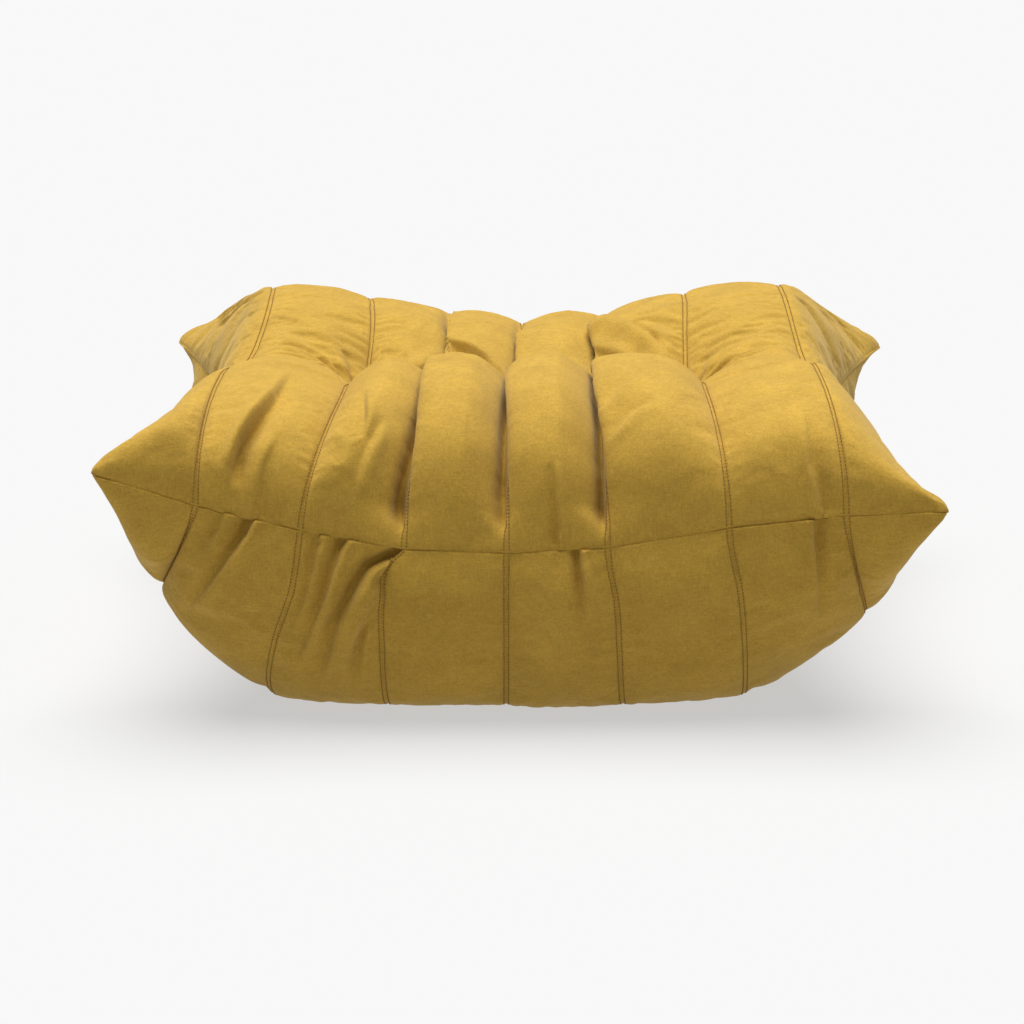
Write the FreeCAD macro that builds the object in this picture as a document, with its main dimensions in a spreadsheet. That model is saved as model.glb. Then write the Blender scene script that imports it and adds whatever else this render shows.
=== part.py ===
"""A low floor cushion: a channel-quilted cover of eight strips over a foam core, tufted along its middle,
with a zip in the base cloth. Millimetres, +Z up, the origin under the middle of the cushion on the floor."""

import FreeCAD, Part
import math
import os

from FreeCAD import Placement, Rotation, Vector

SIZES = {
    # The whole cushion
    "half_width": 435,
    "half_depth": 400,
    "side_waist": 345,
    "front_seam_y": 392,
    "quilt": 12,
    "gap": 0.5,
    # The strips
    "strip_pitch": 108.75,
    "strip_shift": -14,
    "seam_low": 191,
    "seam_rise": 72,
    # The humps and the valley between them
    "crest_y": 180,
    "crest_height": 330,
    "crest_rise": 24,
    "valley_height": 285,
    "valley_rise": 120,
    "strip_puff": 20,
    "side_bulge": 24,
    "face_power": 0.85,
    # The flanks and the base
    "flank_seam_inset": 28,
    "flank_seam_height": 132,
    "flank_seam_rise": 10,
    "flank_bulge": 18,
    "base_edge_y": 300,
    "base_edge_x": 258,
    "rim_inner_y": 240,
    "rim_inner_x": 235,
    "base_spread": 1.1,
    # The base cloth and the zip
    "cloth_level": 12,
    "cloth_thickness": 1.2,
    "cloth_clearance": 0.5,
    "zip_y": 150,
    "zip_length": 420,
    "zip_mouth": 6,
    "tape_inner": 3.2,
    "tape_outer": 16,
    "tape_level": 13.3,
    "tape_thickness": 0.8,
    "coil_inner": 0.7,
    "coil_width": 2.4,
    "coil_thickness": 2.6,
    "stop_length": 5,
    "stop_clearance": 0.3,
    # The slider and its pull tab
    "slider_length": 12,
    "slider_width": 9,
    "slider_end_gap": 1,
    "plate_thickness": 1.2,
    "plate_gap": 3.4,
    "nose_width": 1,
    "nose_length": 2.5,
    "flange_width": 0.8,
    "flange_height": 0.9,
    "ear_inner": 2.2,
    "ear_thickness": 1,
    "ear_radius": 1.5,
    "pin_drop": 2.6,
    "pin_radius": 0.7,
    "pin_clearance": 0.05,
    "tab_length": 22,
    "tab_width": 6,
    "tab_neck_width": 3.6,
    "tab_neck_length": 4,
    "tab_thickness": 1,
    "tab_corner": 2,
    "tab_slot_width": 2.4,
    "tab_slot_length": 8,
    # The foam
    "foam_bottom": 18,
    "foam_split": 120,
    "foam_top": 230,
    "slab_low_width": 452,
    "slab_low_depth": 560,
    "slab_split_width": 572,
    "slab_split_depth": 664,
    "slab_top_width": 624,
    "slab_top_depth": 690,
    "slab_corner": 70,
    "layer_gap": 1,
    "roll_length": 600,
    "roll_depth": 320,
    "roll_height": 72,
    "roll_y": 186,
    "fill_x": 366,
    "fill_y": 336,
    "fill_z": 247,
    "fill_half_x": 25,
    "fill_half_y": 29,
    "fill_half_z": 15,
    # The tufts
    "tuft_count": 5,
    "twine_diameter": 3,
    "twine_hole": 4.5,
    "twine_bottom": 17.2,
    "twine_top": 262,
    "loop_bottom": 262.5,
    "loop_height": 9,
    "loop_width": 14,
    "loop_depth": 8,
    "loop_tape": 1.2,
    "disc_diameter": 30,
    "disc_thickness": 3,
    "disc_bottom": 14,
}

doc = FreeCAD.newDocument("FloorCushion")
sheet = doc.addObject("Spreadsheet::Sheet", "Sizes")
for row, (name, value) in enumerate(SIZES.items(), start=1):
    sheet.set(f"A{row}", name)
    sheet.set(f"B{row}", str(value))
    sheet.setAlias(f"B{row}", name)
doc.recompute()

nodes = []


def size(name):
    """A driving dimension, read back from the sheet."""
    return float(getattr(sheet, name))


def cell(name):
    """The sheet's cell as an expression."""
    return f"Sizes.{name}"


def bind(thing, **expressions):
    """Bind an object's properties to expressions over the sheet."""
    for key, expression in expressions.items():
        thing.setExpression(key, expression)


def place(thing, x="0", y="0", z="0"):
    """Bind an object's place to three expressions."""
    thing.setExpression("Placement.Base.x", x)
    thing.setExpression("Placement.Base.y", y)
    thing.setExpression("Placement.Base.z", z)


def keep(thing, label):
    """Name a finished sub-part, which is written as one node."""
    thing.Label = label
    nodes.append(thing)
    return thing


# --- The cover's lines -------------------------------------------------------------------------
# A station runs from -1 at the front to +1 at the back. Stations out to 0.5 are on the top, or along
# the flank, and those beyond are on the front and back faces.

REACHES = (0, 0.1, 0.2, 0.3, 0.4, 0.5, 0.625, 0.75, 0.875, 1)
STATIONS = [-reach for reach in reversed(REACHES[1:])] + list(REACHES)
FACE_STEPS = (0, 0.25, 0.5, 0.75, 1)
SIDE_STATION_Y = 290


def seam_x(number):
    """Where strip seam number (1 to 7) crosses the front and back perimeter seam."""
    return (number - 4) * size("strip_pitch") + size("strip_shift")


def seam_height(x):
    """The perimeter seam's height, which sags between the corners."""
    return size("seam_low") + size("seam_rise") * (x / size("half_width")) ** 2


def side_x(y):
    """How far out the perimeter seam is along a side."""
    flare = size("half_width") - size("side_waist")
    return size("side_waist") + flare * (y / size("half_depth")) ** 2


def side_point(station, sign):
    """A point of the perimeter seam along the left (-1) or right (+1) side."""
    reach = abs(station)
    if reach <= 0.5:
        y = SIDE_STATION_Y * reach / 0.5
    else:
        remaining = (1 - reach) / 0.5
        y = SIDE_STATION_Y + (size("half_depth") - SIDE_STATION_Y) * (1 - remaining**1.6)
    x = sign * side_x(y)
    return Vector(x, math.copysign(y, station), seam_height(x))


def upper_rib(number, puff):
    """The line over the top at seam number, or between two seams, where it stands puff higher."""
    x = seam_x(number)
    outward = (x / size("half_width")) ** 2
    edge = seam_height(x)
    crest = size("crest_height") + size("crest_rise") * outward + puff
    valley = size("valley_height") + size("valley_rise") * outward**2 + puff
    points = []
    for station in STATIONS:
        reach = abs(station)
        if reach > 0.5:
            angle = math.pi * (1 - reach)
            run = size("front_seam_y") - size("crest_y")
            y = size("crest_y") + run * math.cos(angle) ** size("face_power") + 0.5 * puff * math.sin(2 * angle)
            z = edge + (crest - edge) * math.sin(angle) ** size("face_power")
        else:
            y = size("crest_y") * reach / 0.5
            z = valley + (crest - valley) * (1 - math.cos(2 * math.pi * reach)) / 2
        points.append(Vector(x, math.copysign(y, station), z))
    return points


def face_point(number, step, puff):
    """A point of the front lower face, step 0 at the perimeter seam and 1 at the base's edge."""
    top_x = seam_x(number)
    height = seam_height(top_x) * (1 - step)
    lean = math.sin(math.pi / 2 * (1 - step)) ** 0.9
    y = size("base_edge_y") + (size("front_seam_y") - size("base_edge_y")) * lean
    y += puff * math.sin(math.pi * step)
    x = top_x * (1 + (size("base_spread") - 1) * step)
    return Vector(x, -y, height)


def flank_seam_point(station, sign):
    """A point of the lower seam that runs round the flank: seam 1 on the left, seam 7 on the right."""
    number = 1 if sign < 0 else 7
    reach = abs(station)
    turn_y = size("base_edge_y")
    turn = Vector(
        sign * (side_x(turn_y) - size("flank_seam_inset")),
        turn_y,
        size("flank_seam_height") + size("flank_seam_rise"),
    )
    if reach > 0.5:
        start_x = seam_x(number)
        start = Vector(start_x, size("front_seam_y"), seam_height(start_x))
        point = start + (turn - start) * ((1 - reach) / 0.5)
    else:
        along = reach / 0.5
        y = turn_y * along
        x = sign * (side_x(y) - size("flank_seam_inset"))
        point = Vector(x, y, size("flank_seam_height") + size("flank_seam_rise") * along**2)
    return Vector(point.x, math.copysign(point.y, station), point.z)


def rim_line(sign):
    """Seam 2 or 6 down the front face, then the rim's inner edge along the side, then up the back."""
    number = 2 if sign < 0 else 6
    points = []
    for station in STATIONS:
        reach = abs(station)
        if reach >= 0.5:
            point = face_point(number, (1 - reach) / 0.5, 0)
        else:
            point = Vector(sign * size("rim_inner_x"), -size("rim_inner_y") * reach / 0.4, 0)
        points.append(Vector(point.x, math.copysign(point.y, station), point.z))
    return points


# --- Panels ------------------------------------------------------------------------------------


def bounded(point, upper):
    """Keep a point of a panel's inner side on the panel's own side of the perimeter seam."""
    limit = seam_height(point.x)
    height = max(point.z, limit + 2 * size("gap")) if upper else min(point.z, limit - size("gap"))
    return Vector(point.x, point.y, height)


def inward_in_depth(points, j):
    """The inward normal at point j of a line that keeps nearly one X: it has no X part."""
    before = points[max(j - 1, 0)]
    after = points[min(j + 1, len(points) - 1)]
    normal = Vector(0, -(after.z - before.z), after.y - before.y).normalize()
    centre = Vector(0, 0, size("flank_seam_height"))
    return normal if normal.dot(centre - points[j]) > 0 else normal * -1


def inward_level(point):
    """The level direction from a point of a side's seams towards the middle of the cushion."""
    ahead = Vector(-point.x, -point.y * (point.y / size("half_depth")) ** 4, 0)
    return ahead.normalize()


def level_in_depth(point):
    """The point one quilt thickness in from a front or back seam, straight back or forward."""
    return point + Vector(0, -math.copysign(size("quilt"), point.y), 0)


def inside_of_line(points):
    """The inner side of a line that runs over the top, down a face or under the base."""
    inner = []
    for j, point in enumerate(points):
        if point.z == 0 and abs(point.y) <= size("rim_inner_y"):
            inner.append(point + Vector(0, 0, size("quilt")))
        elif j in (0, len(points) - 1):
            inner.append(level_in_depth(point))
        else:
            inner.append(point + inward_in_depth(points, j) * size("quilt"))
    return inner


def inside_of_side(points):
    """The inner side of the perimeter seam along a side, from corner to corner."""
    return [point + inward_level(point) * size("quilt") for point in points]


def inside_of_flank(points):
    """The inner side of a seam round the flank, which starts and ends at the front and back seams."""
    inner = inside_of_side(points)
    return [level_in_depth(points[0])] + inner[1:-1] + [level_in_depth(points[-1])]


def inner_between(lines, i, j, upper):
    """The inner point under point j of the puffed line i, one quilt thickness along the surface's normal."""
    across = lines[i + 1][j] - lines[i - 1][j]
    last = len(lines[i]) - 1
    along = lines[i][min(j + 1, last)] - lines[i][max(j - 1, 0)]
    normal = across.cross(along).normalize()
    point = lines[i][j]
    middle = Vector(0, 0, size("flank_seam_height"))
    if normal.dot(middle - point) < 0:
        normal = normal * -1
    return bounded(point + normal * size("quilt"), upper)


def triangle(a, b, c):
    return Part.Face(Part.makePolygon([a, b, c, a]))


def panel(outer, inner):
    """The closed solid between an outer and an inner net of points, with every triangle facing outwards."""
    faces = []

    def quad(a, b, c, d):
        faces.append(triangle(a, b, c))
        faces.append(triangle(a, c, d))

    last_line = len(outer) - 1
    last_point = len(outer[0]) - 1
    for i in range(last_line):
        for j in range(last_point):
            quad(outer[i][j], outer[i][j + 1], outer[i + 1][j + 1], outer[i + 1][j])
            quad(inner[i][j], inner[i + 1][j], inner[i + 1][j + 1], inner[i][j + 1])
    for j in range(last_point):
        quad(outer[0][j], inner[0][j], inner[0][j + 1], outer[0][j + 1])
        quad(outer[-1][j], outer[-1][j + 1], inner[-1][j + 1], inner[-1][j])
    for i in range(last_line):
        quad(outer[i][0], outer[i + 1][0], inner[i + 1][0], inner[i][0])
        quad(outer[i][-1], inner[i][-1], inner[i + 1][-1], outer[i + 1][-1])
    solid = Part.makeSolid(Part.makeShell(faces))
    if solid.Volume < 0:
        solid = Part.makeSolid(Part.makeShell([face.reversed() for face in faces]))
    return solid


def moved(points, x=0, y=0, z=0):
    return [point + Vector(x, y, z) for point in points]


def add_panel(label, outer, inner):
    """A cover strip as a document object."""
    feature = doc.addObject("Part::Feature", "Strip")
    feature.Shape = panel(outer, inner)
    return keep(feature, label)


def inner_net(lines, seam_insides, upper):
    """The inner net under a net of lines. seam_insides holds each seam's inner line, and None for a puffed line."""
    inner = []
    for i, (line, seam_inside) in enumerate(zip(lines, seam_insides)):
        if seam_inside is None:
            between = [inner_between(lines, i, j, upper) for j in range(1, len(line) - 1)]
            seam_inside = [level_in_depth(line[0])] + between + [level_in_depth(line[-1])]
        inner.append(seam_inside)
    return inner


# --- The upper cover ---------------------------------------------------------------------------


def side_upper_middle(number, sign):
    """The puffed line between an outermost seam and the side's perimeter seam."""
    seam = upper_rib(number, 0)
    points = []
    for station, on_seam in zip(STATIONS, seam):
        on_side = side_point(station, sign)
        swell = size("side_bulge") * min(1, (1 - abs(station)) / 0.5) ** 0.7
        points.append((on_seam + on_side) * 0.5 + Vector(sign * 0.8, 0, 0.6) * swell)
    return points


def make_upper_strip(number):
    half_gap = size("gap") / 2
    if number in (1, 8):
        sign = -1 if number == 1 else 1
        seam_number = 1 if number == 1 else 7
        side = [side_point(station, sign) for station in STATIONS]
        seam = moved(upper_rib(seam_number, 0), x=sign * half_gap)
        lines = [side, side_upper_middle(seam_number, sign), seam]
        seam_insides = [inside_of_side(side), None, inside_of_line(seam)]
    else:
        left = moved(upper_rib(number - 1, 0), x=half_gap)
        right = moved(upper_rib(number, 0), x=-half_gap)
        lines = [left, upper_rib(number - 0.5, size("strip_puff")), right]
        seam_insides = [inside_of_line(left), None, inside_of_line(right)]
    inner = inner_net(lines, seam_insides, True)
    raised = [moved(line, z=size("gap")) for line in lines]
    inner = [moved(line, z=size("gap")) for line in inner]
    add_panel(f"upper_strip_{number}", raised, inner)


# --- The lower cover ---------------------------------------------------------------------------


def swell_at(station):
    """How much of a flank's full bulge there is: none at the front and back seams."""
    return min(1, (1 - abs(station)) / 0.5) ** 0.7


def make_corner_strip(number, sign):
    """Lower strip 1 or 8: from a side's perimeter seam down to the seam that runs round the flank."""
    nudge = size("gap") / 2
    side = [side_point(station, sign) for station in STATIONS]
    flank = moved([flank_seam_point(station, sign) for station in STATIONS], x=sign * nudge, z=nudge)
    outward = Vector(sign * 0.95, 0, -0.3) * size("flank_bulge")
    middle = [(a + b) * 0.5 + outward * swell_at(station) for station, a, b in zip(STATIONS, side, flank)]
    lines = [side, middle, flank]
    inner = inner_net(lines, [inside_of_side(side), None, inside_of_flank(flank)], False)
    add_panel(f"lower_strip_{number}", lines, inner)


def make_flank_strip(number, sign):
    """Lower strip 2 or 7: down the front corner, along the flank above the base, and up at the back."""
    nudge = size("gap") / 2
    flank = moved([flank_seam_point(station, sign) for station in STATIONS], x=-sign * nudge, z=-nudge)
    rim = moved(rim_line(sign), x=sign * 2 * nudge)
    middle = []
    edge = []
    for station, upper, lower in zip(STATIONS, flank, rim):
        swell = size("flank_bulge") * swell_at(station)
        if abs(station) > 0.4:
            outward = Vector(sign * 0.6, math.copysign(0.8, station), 0)
            halfway = (upper + lower) * 0.5 + outward * swell
            if abs(station) == 1:
                halfway.z = seam_height(halfway.x)
            middle.append(halfway)
            edge.append((halfway + lower) * 0.5)
        else:
            foot = Vector(sign * size("base_edge_x"), lower.y, 0)
            middle.append((upper + foot) * 0.5 + Vector(sign * 0.9, 0, -0.2) * swell)
            edge.append(foot)
    lines = [flank, middle, edge, rim]
    inner = inner_net(lines, [inside_of_flank(flank), None, None, inside_of_line(rim)], False)
    add_panel(f"lower_strip_{number}", lines, inner)


def face_line(number, puff):
    """A line down the front lower face and under the base to the rim's inner edge."""
    points = [face_point(number, step, puff) for step in FACE_STEPS]
    inner_x = points[-1].x * size("rim_inner_x") / abs(face_point(2, 1, 0).x)
    if number == 6:
        inner_x = size("rim_inner_x")
    points.append(Vector(inner_x, -size("rim_inner_y"), 0))
    return points


def make_face_strip(number, back):
    """Lower strips 3 to 6, at the front or, turned over the middle, at the back."""
    half_gap = size("gap") / 2
    left = moved(face_line(number - 1, 0), x=half_gap)
    right = moved(face_line(number, 0), x=-half_gap)
    lines = [left, face_line(number - 0.5, size("strip_puff") * 0.6), right]
    inner = [inside_of_line(line) for line in lines]
    if back:
        lines = [[Vector(p.x, -p.y, p.z) for p in line] for line in lines]
        inner = [[Vector(p.x, -p.y, p.z) for p in line] for line in inner]
    add_panel(f"lower_{'rear' if back else 'front'}_strip_{number}", lines, inner)


# --- The base cloth and the zip ----------------------------------------------------------------


def box(name, length, width, height, x, y, z):
    """A Part box bound to expressions, from its lowest corner."""
    thing = doc.addObject("Part::Box", name)
    bind(thing, Length=length, Width=width, Height=height)
    place(thing, x, y, z)
    return thing


def body_sketch(body, name, role, height=None):
    """A sketch on one of a body's own origin planes."""
    sketch = body.newObject("Sketcher::SketchObject", name)
    plane = next(f for f in body.Origin.OriginFeatures if f.Role == role)
    sketch.AttachmentSupport = [(plane, "")]
    sketch.MapMode = "FlatFace"
    if height:
        sketch.setExpression("AttachmentOffset.Base.z", height)
    return sketch


def add_rectangle(sketch, low, high):
    """A rectangle from corner low to corner high."""
    (x0, y0), (x1, y1) = low, high
    corners = [Vector(x0, y0, 0), Vector(x1, y0, 0), Vector(x1, y1, 0), Vector(x0, y1, 0)]
    for start, end in zip(corners, corners[1:] + corners[:1]):
        sketch.addGeometry(Part.LineSegment(start, end), False)


def make_base_cloth():
    """Two pieces of thin cloth that close the base, each hemmed to one tape of the zip."""
    inner_x = f"({cell('rim_inner_x')} - {cell('cloth_clearance')})"
    inner_y = f"({cell('rim_inner_y')} - {cell('cloth_clearance')})"
    mouth = cell("zip_mouth")
    zip_y = cell("zip_y")
    level = cell("cloth_level")
    thick = cell("cloth_thickness")
    front = box(
        "BaseClothFront",
        f"2 * {inner_x}",
        f"{inner_y} + {zip_y} - {mouth}",
        thick,
        f"-{inner_x}",
        f"-{inner_y}",
        level,
    )
    keep(front, "base_cloth_front")
    rear = box(
        "BaseClothRear",
        f"2 * {inner_x}",
        f"{inner_y} - {zip_y} - {mouth}",
        thick,
        f"-{inner_x}",
        f"{zip_y} + {mouth}",
        level,
    )
    keep(rear, "base_cloth_rear")


def make_zip_rows():
    """A tape and a coil on each side of the zip's mouth, and a stop at each end."""
    length = cell("zip_length")
    zip_y = cell("zip_y")
    start = f"-{length} / 2"
    tape_width = f"{cell('tape_outer')} - {cell('tape_inner')}"
    coil_level = f"{cell('tape_level')} + ({cell('tape_thickness')} - {cell('coil_thickness')}) / 2"
    rows = {
        "front": (f"{zip_y} - {cell('tape_outer')}", f"{zip_y} - {cell('coil_inner')} - {cell('coil_width')}"),
        "rear": (f"{zip_y} + {cell('tape_inner')}", f"{zip_y} + {cell('coil_inner')}"),
    }
    for side, (tape_y, coil_y) in rows.items():
        tape = box("Tape", length, tape_width, cell("tape_thickness"), start, tape_y, cell("tape_level"))
        keep(tape, f"zip_tape_{side}")
        coil = box("Coil", length, cell("coil_width"), cell("coil_thickness"), start, coil_y, coil_level)
        keep(coil, f"zip_coil_{side}")
    stop_width = f"2 * ({cell('coil_inner')} + {cell('coil_width')})"
    ends = {
        "zip_bottom_stop": f"-{length} / 2 - {cell('stop_clearance')} - {cell('stop_length')}",
        "zip_top_stop": f"{length} / 2 + {cell('stop_clearance')}",
    }
    for label, x in ends.items():
        stop_y = f"{zip_y} - {cell('coil_inner')} - {cell('coil_width')}"
        stop = box("Stop", cell("stop_length"), stop_width, cell("coil_thickness"), x, stop_y, coil_level)
        keep(stop, label)


def slider_levels():
    """The heights of the slider's two plates and of its pin, about the middle of the tapes."""
    middle = size("tape_level") + size("tape_thickness") / 2
    lower_top = middle - size("plate_gap") / 2
    return {
        "middle": middle,
        "lower_top": lower_top,
        "lower_bottom": lower_top - size("plate_thickness"),
        "upper_bottom": middle + size("plate_gap") / 2,
        "pin": lower_top - size("plate_thickness") - size("pin_drop"),
    }


def slider_place():
    """Where the slider's closed-end face stands when the zip is shut."""
    return size("zip_length") / 2 - size("slider_end_gap")


def pad_between(body, name, low, high, bottom, top):
    """Pad a rectangle of the XY plane between two heights."""
    sketch = body_sketch(body, f"{name}Sketch", "XY_Plane")
    sketch.AttachmentOffset = Placement(Vector(0, 0, bottom), Rotation())
    add_rectangle(sketch, low, high)
    pad = body.newObject("PartDesign::Pad", name)
    pad.Profile = sketch
    pad.Length = top - bottom
    return pad


def make_slider():
    """Two plates round the coils, joined by the nose between them, with two ears for the tab's pin."""
    levels = slider_levels()
    back = slider_place()
    front = back - size("slider_length")
    half = size("slider_width") / 2
    flange_in = half - size("flange_width")
    zip_y = size("zip_y")
    body = doc.addObject("PartDesign::Body", "Slider")
    pad_between(
        body, "LowerPlate", (front, zip_y - half), (back, zip_y + half), levels["lower_bottom"], levels["lower_top"]
    )
    nose = size("nose_width") / 2
    pad_between(
        body,
        "Nose",
        (front, zip_y - nose),
        (front + size("nose_length"), zip_y + nose),
        levels["lower_top"],
        levels["upper_bottom"],
    )
    upper_top = levels["upper_bottom"] + size("plate_thickness")
    pad_between(
        body, "UpperPlate", (front, zip_y - half), (back, zip_y + half), levels["upper_bottom"], upper_top
    )
    for sign, side in ((-1, "Front"), (1, "Rear")):
        edges = sorted((zip_y + sign * flange_in, zip_y + sign * half))
        low, high = (front, edges[0]), (back, edges[1])
        lip = size("flange_height")
        pad_between(body, f"LowerLip{side}", low, high, levels["lower_top"], levels["lower_top"] + lip)
        pad_between(body, f"UpperLip{side}", low, high, levels["upper_bottom"] - lip, levels["upper_bottom"])
        ear = sorted((zip_y + sign * size("ear_inner"), zip_y + sign * (size("ear_inner") + size("ear_thickness"))))
        middle_x = (front + back) / 2
        radius = size("ear_radius")
        pad_between(
            body,
            f"Ear{side}",
            (middle_x - radius, ear[0]),
            (middle_x + radius, ear[1]),
            levels["pin"] - radius,
            levels["lower_bottom"],
        )
    doc.recompute()
    before = body.Shape.Volume
    bore = body_sketch(body, "PinBoreSketch", "XZ_Plane")
    bore.AttachmentOffset = Placement(Vector(0, 0, -zip_y), Rotation())
    centre = Vector((front + back) / 2, levels["pin"], 0)
    bore.addGeometry(Part.Circle(centre, Vector(0, 0, 1), size("pin_radius") + size("pin_clearance")), False)
    pocket = body.newObject("PartDesign::Pocket", "PinBore")
    pocket.Profile = bore
    pocket.Type = "ThroughAll"
    pocket.Midplane = True
    doc.recompute()
    assert body.Shape.Volume < before
    keep(body, "zip_slider")


def make_pull_tab():
    """A flat tab that lies back along the closed zip, on a pin through the slider's ears."""
    levels = slider_levels()
    pin_x = slider_place() - size("slider_length") / 2
    zip_y = size("zip_y")
    half_thick = size("tab_thickness") / 2
    neck = size("tab_neck_width") / 2
    half = size("tab_width") / 2
    body = doc.addObject("PartDesign::Body", "PullTab")
    low, high = levels["pin"] - half_thick, levels["pin"] + half_thick
    neck_end = pin_x - size("tab_neck_length")
    tip = pin_x - size("tab_length")
    pad_between(body, "Neck", (neck_end, zip_y - neck), (pin_x, zip_y + neck), low, high)
    pad_between(body, "Blade", (tip, zip_y - half), (neck_end, zip_y + half), low, high)
    pin_sketch = body_sketch(body, "PinSketch", "XZ_Plane")
    pin_sketch.AttachmentOffset = Placement(Vector(0, 0, -zip_y), Rotation())
    pin_sketch.addGeometry(Part.Circle(Vector(pin_x, levels["pin"], 0), Vector(0, 0, 1), size("pin_radius")), False)
    pin = body.newObject("PartDesign::Pad", "Pin")
    pin.Profile = pin_sketch
    pin.Length = 2 * (size("ear_inner") + size("ear_thickness"))
    pin.Midplane = True
    doc.recompute()
    corners = []
    for index, edge in enumerate(pin.Shape.Edges, start=1):
        ends = [v.Point for v in edge.Vertexes]
        upright = len(ends) == 2 and abs(ends[0].z - ends[1].z) > size("tab_thickness") / 2
        if upright and all(abs(end.x - tip) < 0.01 for end in ends):
            corners.append(f"Edge{index}")
    fillet = body.newObject("PartDesign::Fillet", "TipCorners")
    fillet.Base = (pin, corners)
    fillet.setExpression("Radius", cell("tab_corner"))
    doc.recompute()
    before = body.Shape.Volume
    slot = body_sketch(body, "SlotSketch", "XY_Plane")
    slot_half = size("tab_slot_width") / 2
    slot_low = (tip + size("tab_corner") * 1.5, zip_y - slot_half)
    slot_high = (tip + size("tab_corner") * 1.5 + size("tab_slot_length"), zip_y + slot_half)
    add_rectangle(slot, slot_low, slot_high)
    cut = body.newObject("PartDesign::Pocket", "Slot")
    cut.Profile = slot
    cut.Type = "ThroughAll"
    cut.Midplane = True
    doc.recompute()
    assert body.Shape.Volume < before
    keep(body, "zip_pull_tab")


# --- The foam core -----------------------------------------------------------------------------


def rounded_rectangle(body, name, width, depth, height):
    """A rectangle with round corners about the Z axis, on a level plane."""
    sketch = body_sketch(body, name, "XY_Plane", height)
    radius = size("slab_corner")
    centre_x = size(width) / 2 - radius
    centre_y = size(depth) / 2 - radius
    corners = ((centre_x, centre_y), (-centre_x, centre_y), (-centre_x, -centre_y), (centre_x, -centre_y))
    arcs = []
    for quarter, (x, y) in enumerate(corners):
        points = []
        for degrees in (0, 45, 90):
            angle = math.radians(90 * quarter + degrees)
            points.append(Vector(x + radius * math.cos(angle), y + radius * math.sin(angle), 0))
        arcs.append(points)
    for points, following in zip(arcs, arcs[1:] + arcs[:1]):
        sketch.addGeometry(Part.Arc(*points), False)
        sketch.addGeometry(Part.LineSegment(points[-1], following[0]), False)
    return sketch


def drill_tuft_holes(body):
    """A row of holes for the tuft twines, straight down through a slab."""
    doc.recompute()
    before = body.Shape.Volume
    sketch = body_sketch(body, "TwineSketch", "XY_Plane")
    sketch.addGeometry(Part.Circle(Vector(seam_x(2), 0, 0), Vector(0, 0, 1), size("twine_hole") / 2), False)
    hole = body.newObject("PartDesign::Pocket", "TwineHole")
    hole.Profile = sketch
    hole.Type = "ThroughAll"
    hole.Midplane = True
    doc.recompute()
    pattern = body.newObject("PartDesign::LinearPattern", "TwineHoles")
    pattern.Originals = [hole]
    pattern.Direction = (sketch, ["H_Axis"])
    pattern.setExpression("Occurrences", cell("tuft_count"))
    pattern.setExpression("Length", f"{cell('strip_pitch')} * ({cell('tuft_count')} - 1)")
    body.Tip = pattern
    doc.recompute()
    assert body.Shape.Volume < before


def make_slab(label, bottom, top, low, high):
    """A foam slab with sloping sides and rounded upright corners, drilled for the twines."""
    body = doc.addObject("PartDesign::Body", "Slab")
    lower = rounded_rectangle(body, "Bottom", *low, bottom)
    upper = rounded_rectangle(body, "Top", *high, top)
    loft = body.newObject("PartDesign::AdditiveLoft", "Block")
    loft.Profile = lower
    loft.Sections = [upper]
    loft.Ruled = True
    drill_tuft_holes(body)
    keep(body, label)


def make_roll(label, sign):
    """A long roll with a flat underside and a domed top, which makes one hump."""
    body = doc.addObject("PartDesign::Body", "Roll")
    sketch = body_sketch(body, "Section", "YZ_Plane")
    bottom = size("foam_top") + size("layer_gap")
    half = size("roll_depth") / 2
    middle = sign * size("roll_y")
    left = Vector(middle - half, bottom, 0)
    right = Vector(middle + half, bottom, 0)
    crown = Vector(middle, bottom + size("roll_height"), 0)
    sketch.addGeometry(Part.LineSegment(left, right), False)
    sketch.addGeometry(Part.Arc(right, crown, left), False)
    pad = body.newObject("PartDesign::Pad", "Length")
    pad.Profile = sketch
    pad.setExpression("Length", cell("roll_length"))
    pad.Midplane = True
    doc.recompute()
    keep(body, label)


def make_corner_fills():
    """A wad of fibre in each pointed corner."""
    for depth, sign_y in (("front", -1), ("rear", 1)):
        for side, sign_x in (("left", -1), ("right", 1)):
            wad = doc.addObject("Part::Ellipsoid", "Wad")
            bind(
                wad,
                Radius1=cell("fill_half_z"),
                Radius2=cell("fill_half_x"),
                Radius3=cell("fill_half_y"),
            )
            place(wad, f"{sign_x} * {cell('fill_x')}", f"{sign_y} * {cell('fill_y')}", cell("fill_z"))
            keep(wad, f"corner_fill_{depth}_{side}")


# --- The tufts ---------------------------------------------------------------------------------


def tuft_x(index):
    """The X of tuft index (0 to 4), an expression over the sheet: tufts sit on seams 2 to 6."""
    return f"({index} - 2) * {cell('strip_pitch')} + {cell('strip_shift')}"


def tuft_row(label, make_one):
    """One node that holds a separate solid at each tuft."""
    row = doc.addObject("Part::Compound", "TuftRow")
    row.Links = [make_one(index) for index in range(int(size("tuft_count")))]
    keep(row, label)


def make_twine(index):
    twine = doc.addObject("Part::Cylinder", "Twine")
    bind(twine, Radius=f"{cell('twine_diameter')} / 2", Height=f"{cell('twine_top')} - {cell('twine_bottom')}")
    place(twine, tuft_x(index), "0", cell("twine_bottom"))
    return twine


def make_disc(index):
    disc = doc.addObject("Part::Cylinder", "Disc")
    bind(disc, Radius=f"{cell('disc_diameter')} / 2", Height=cell("disc_thickness"))
    place(disc, tuft_x(index), "0", cell("disc_bottom"))
    return disc


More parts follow.
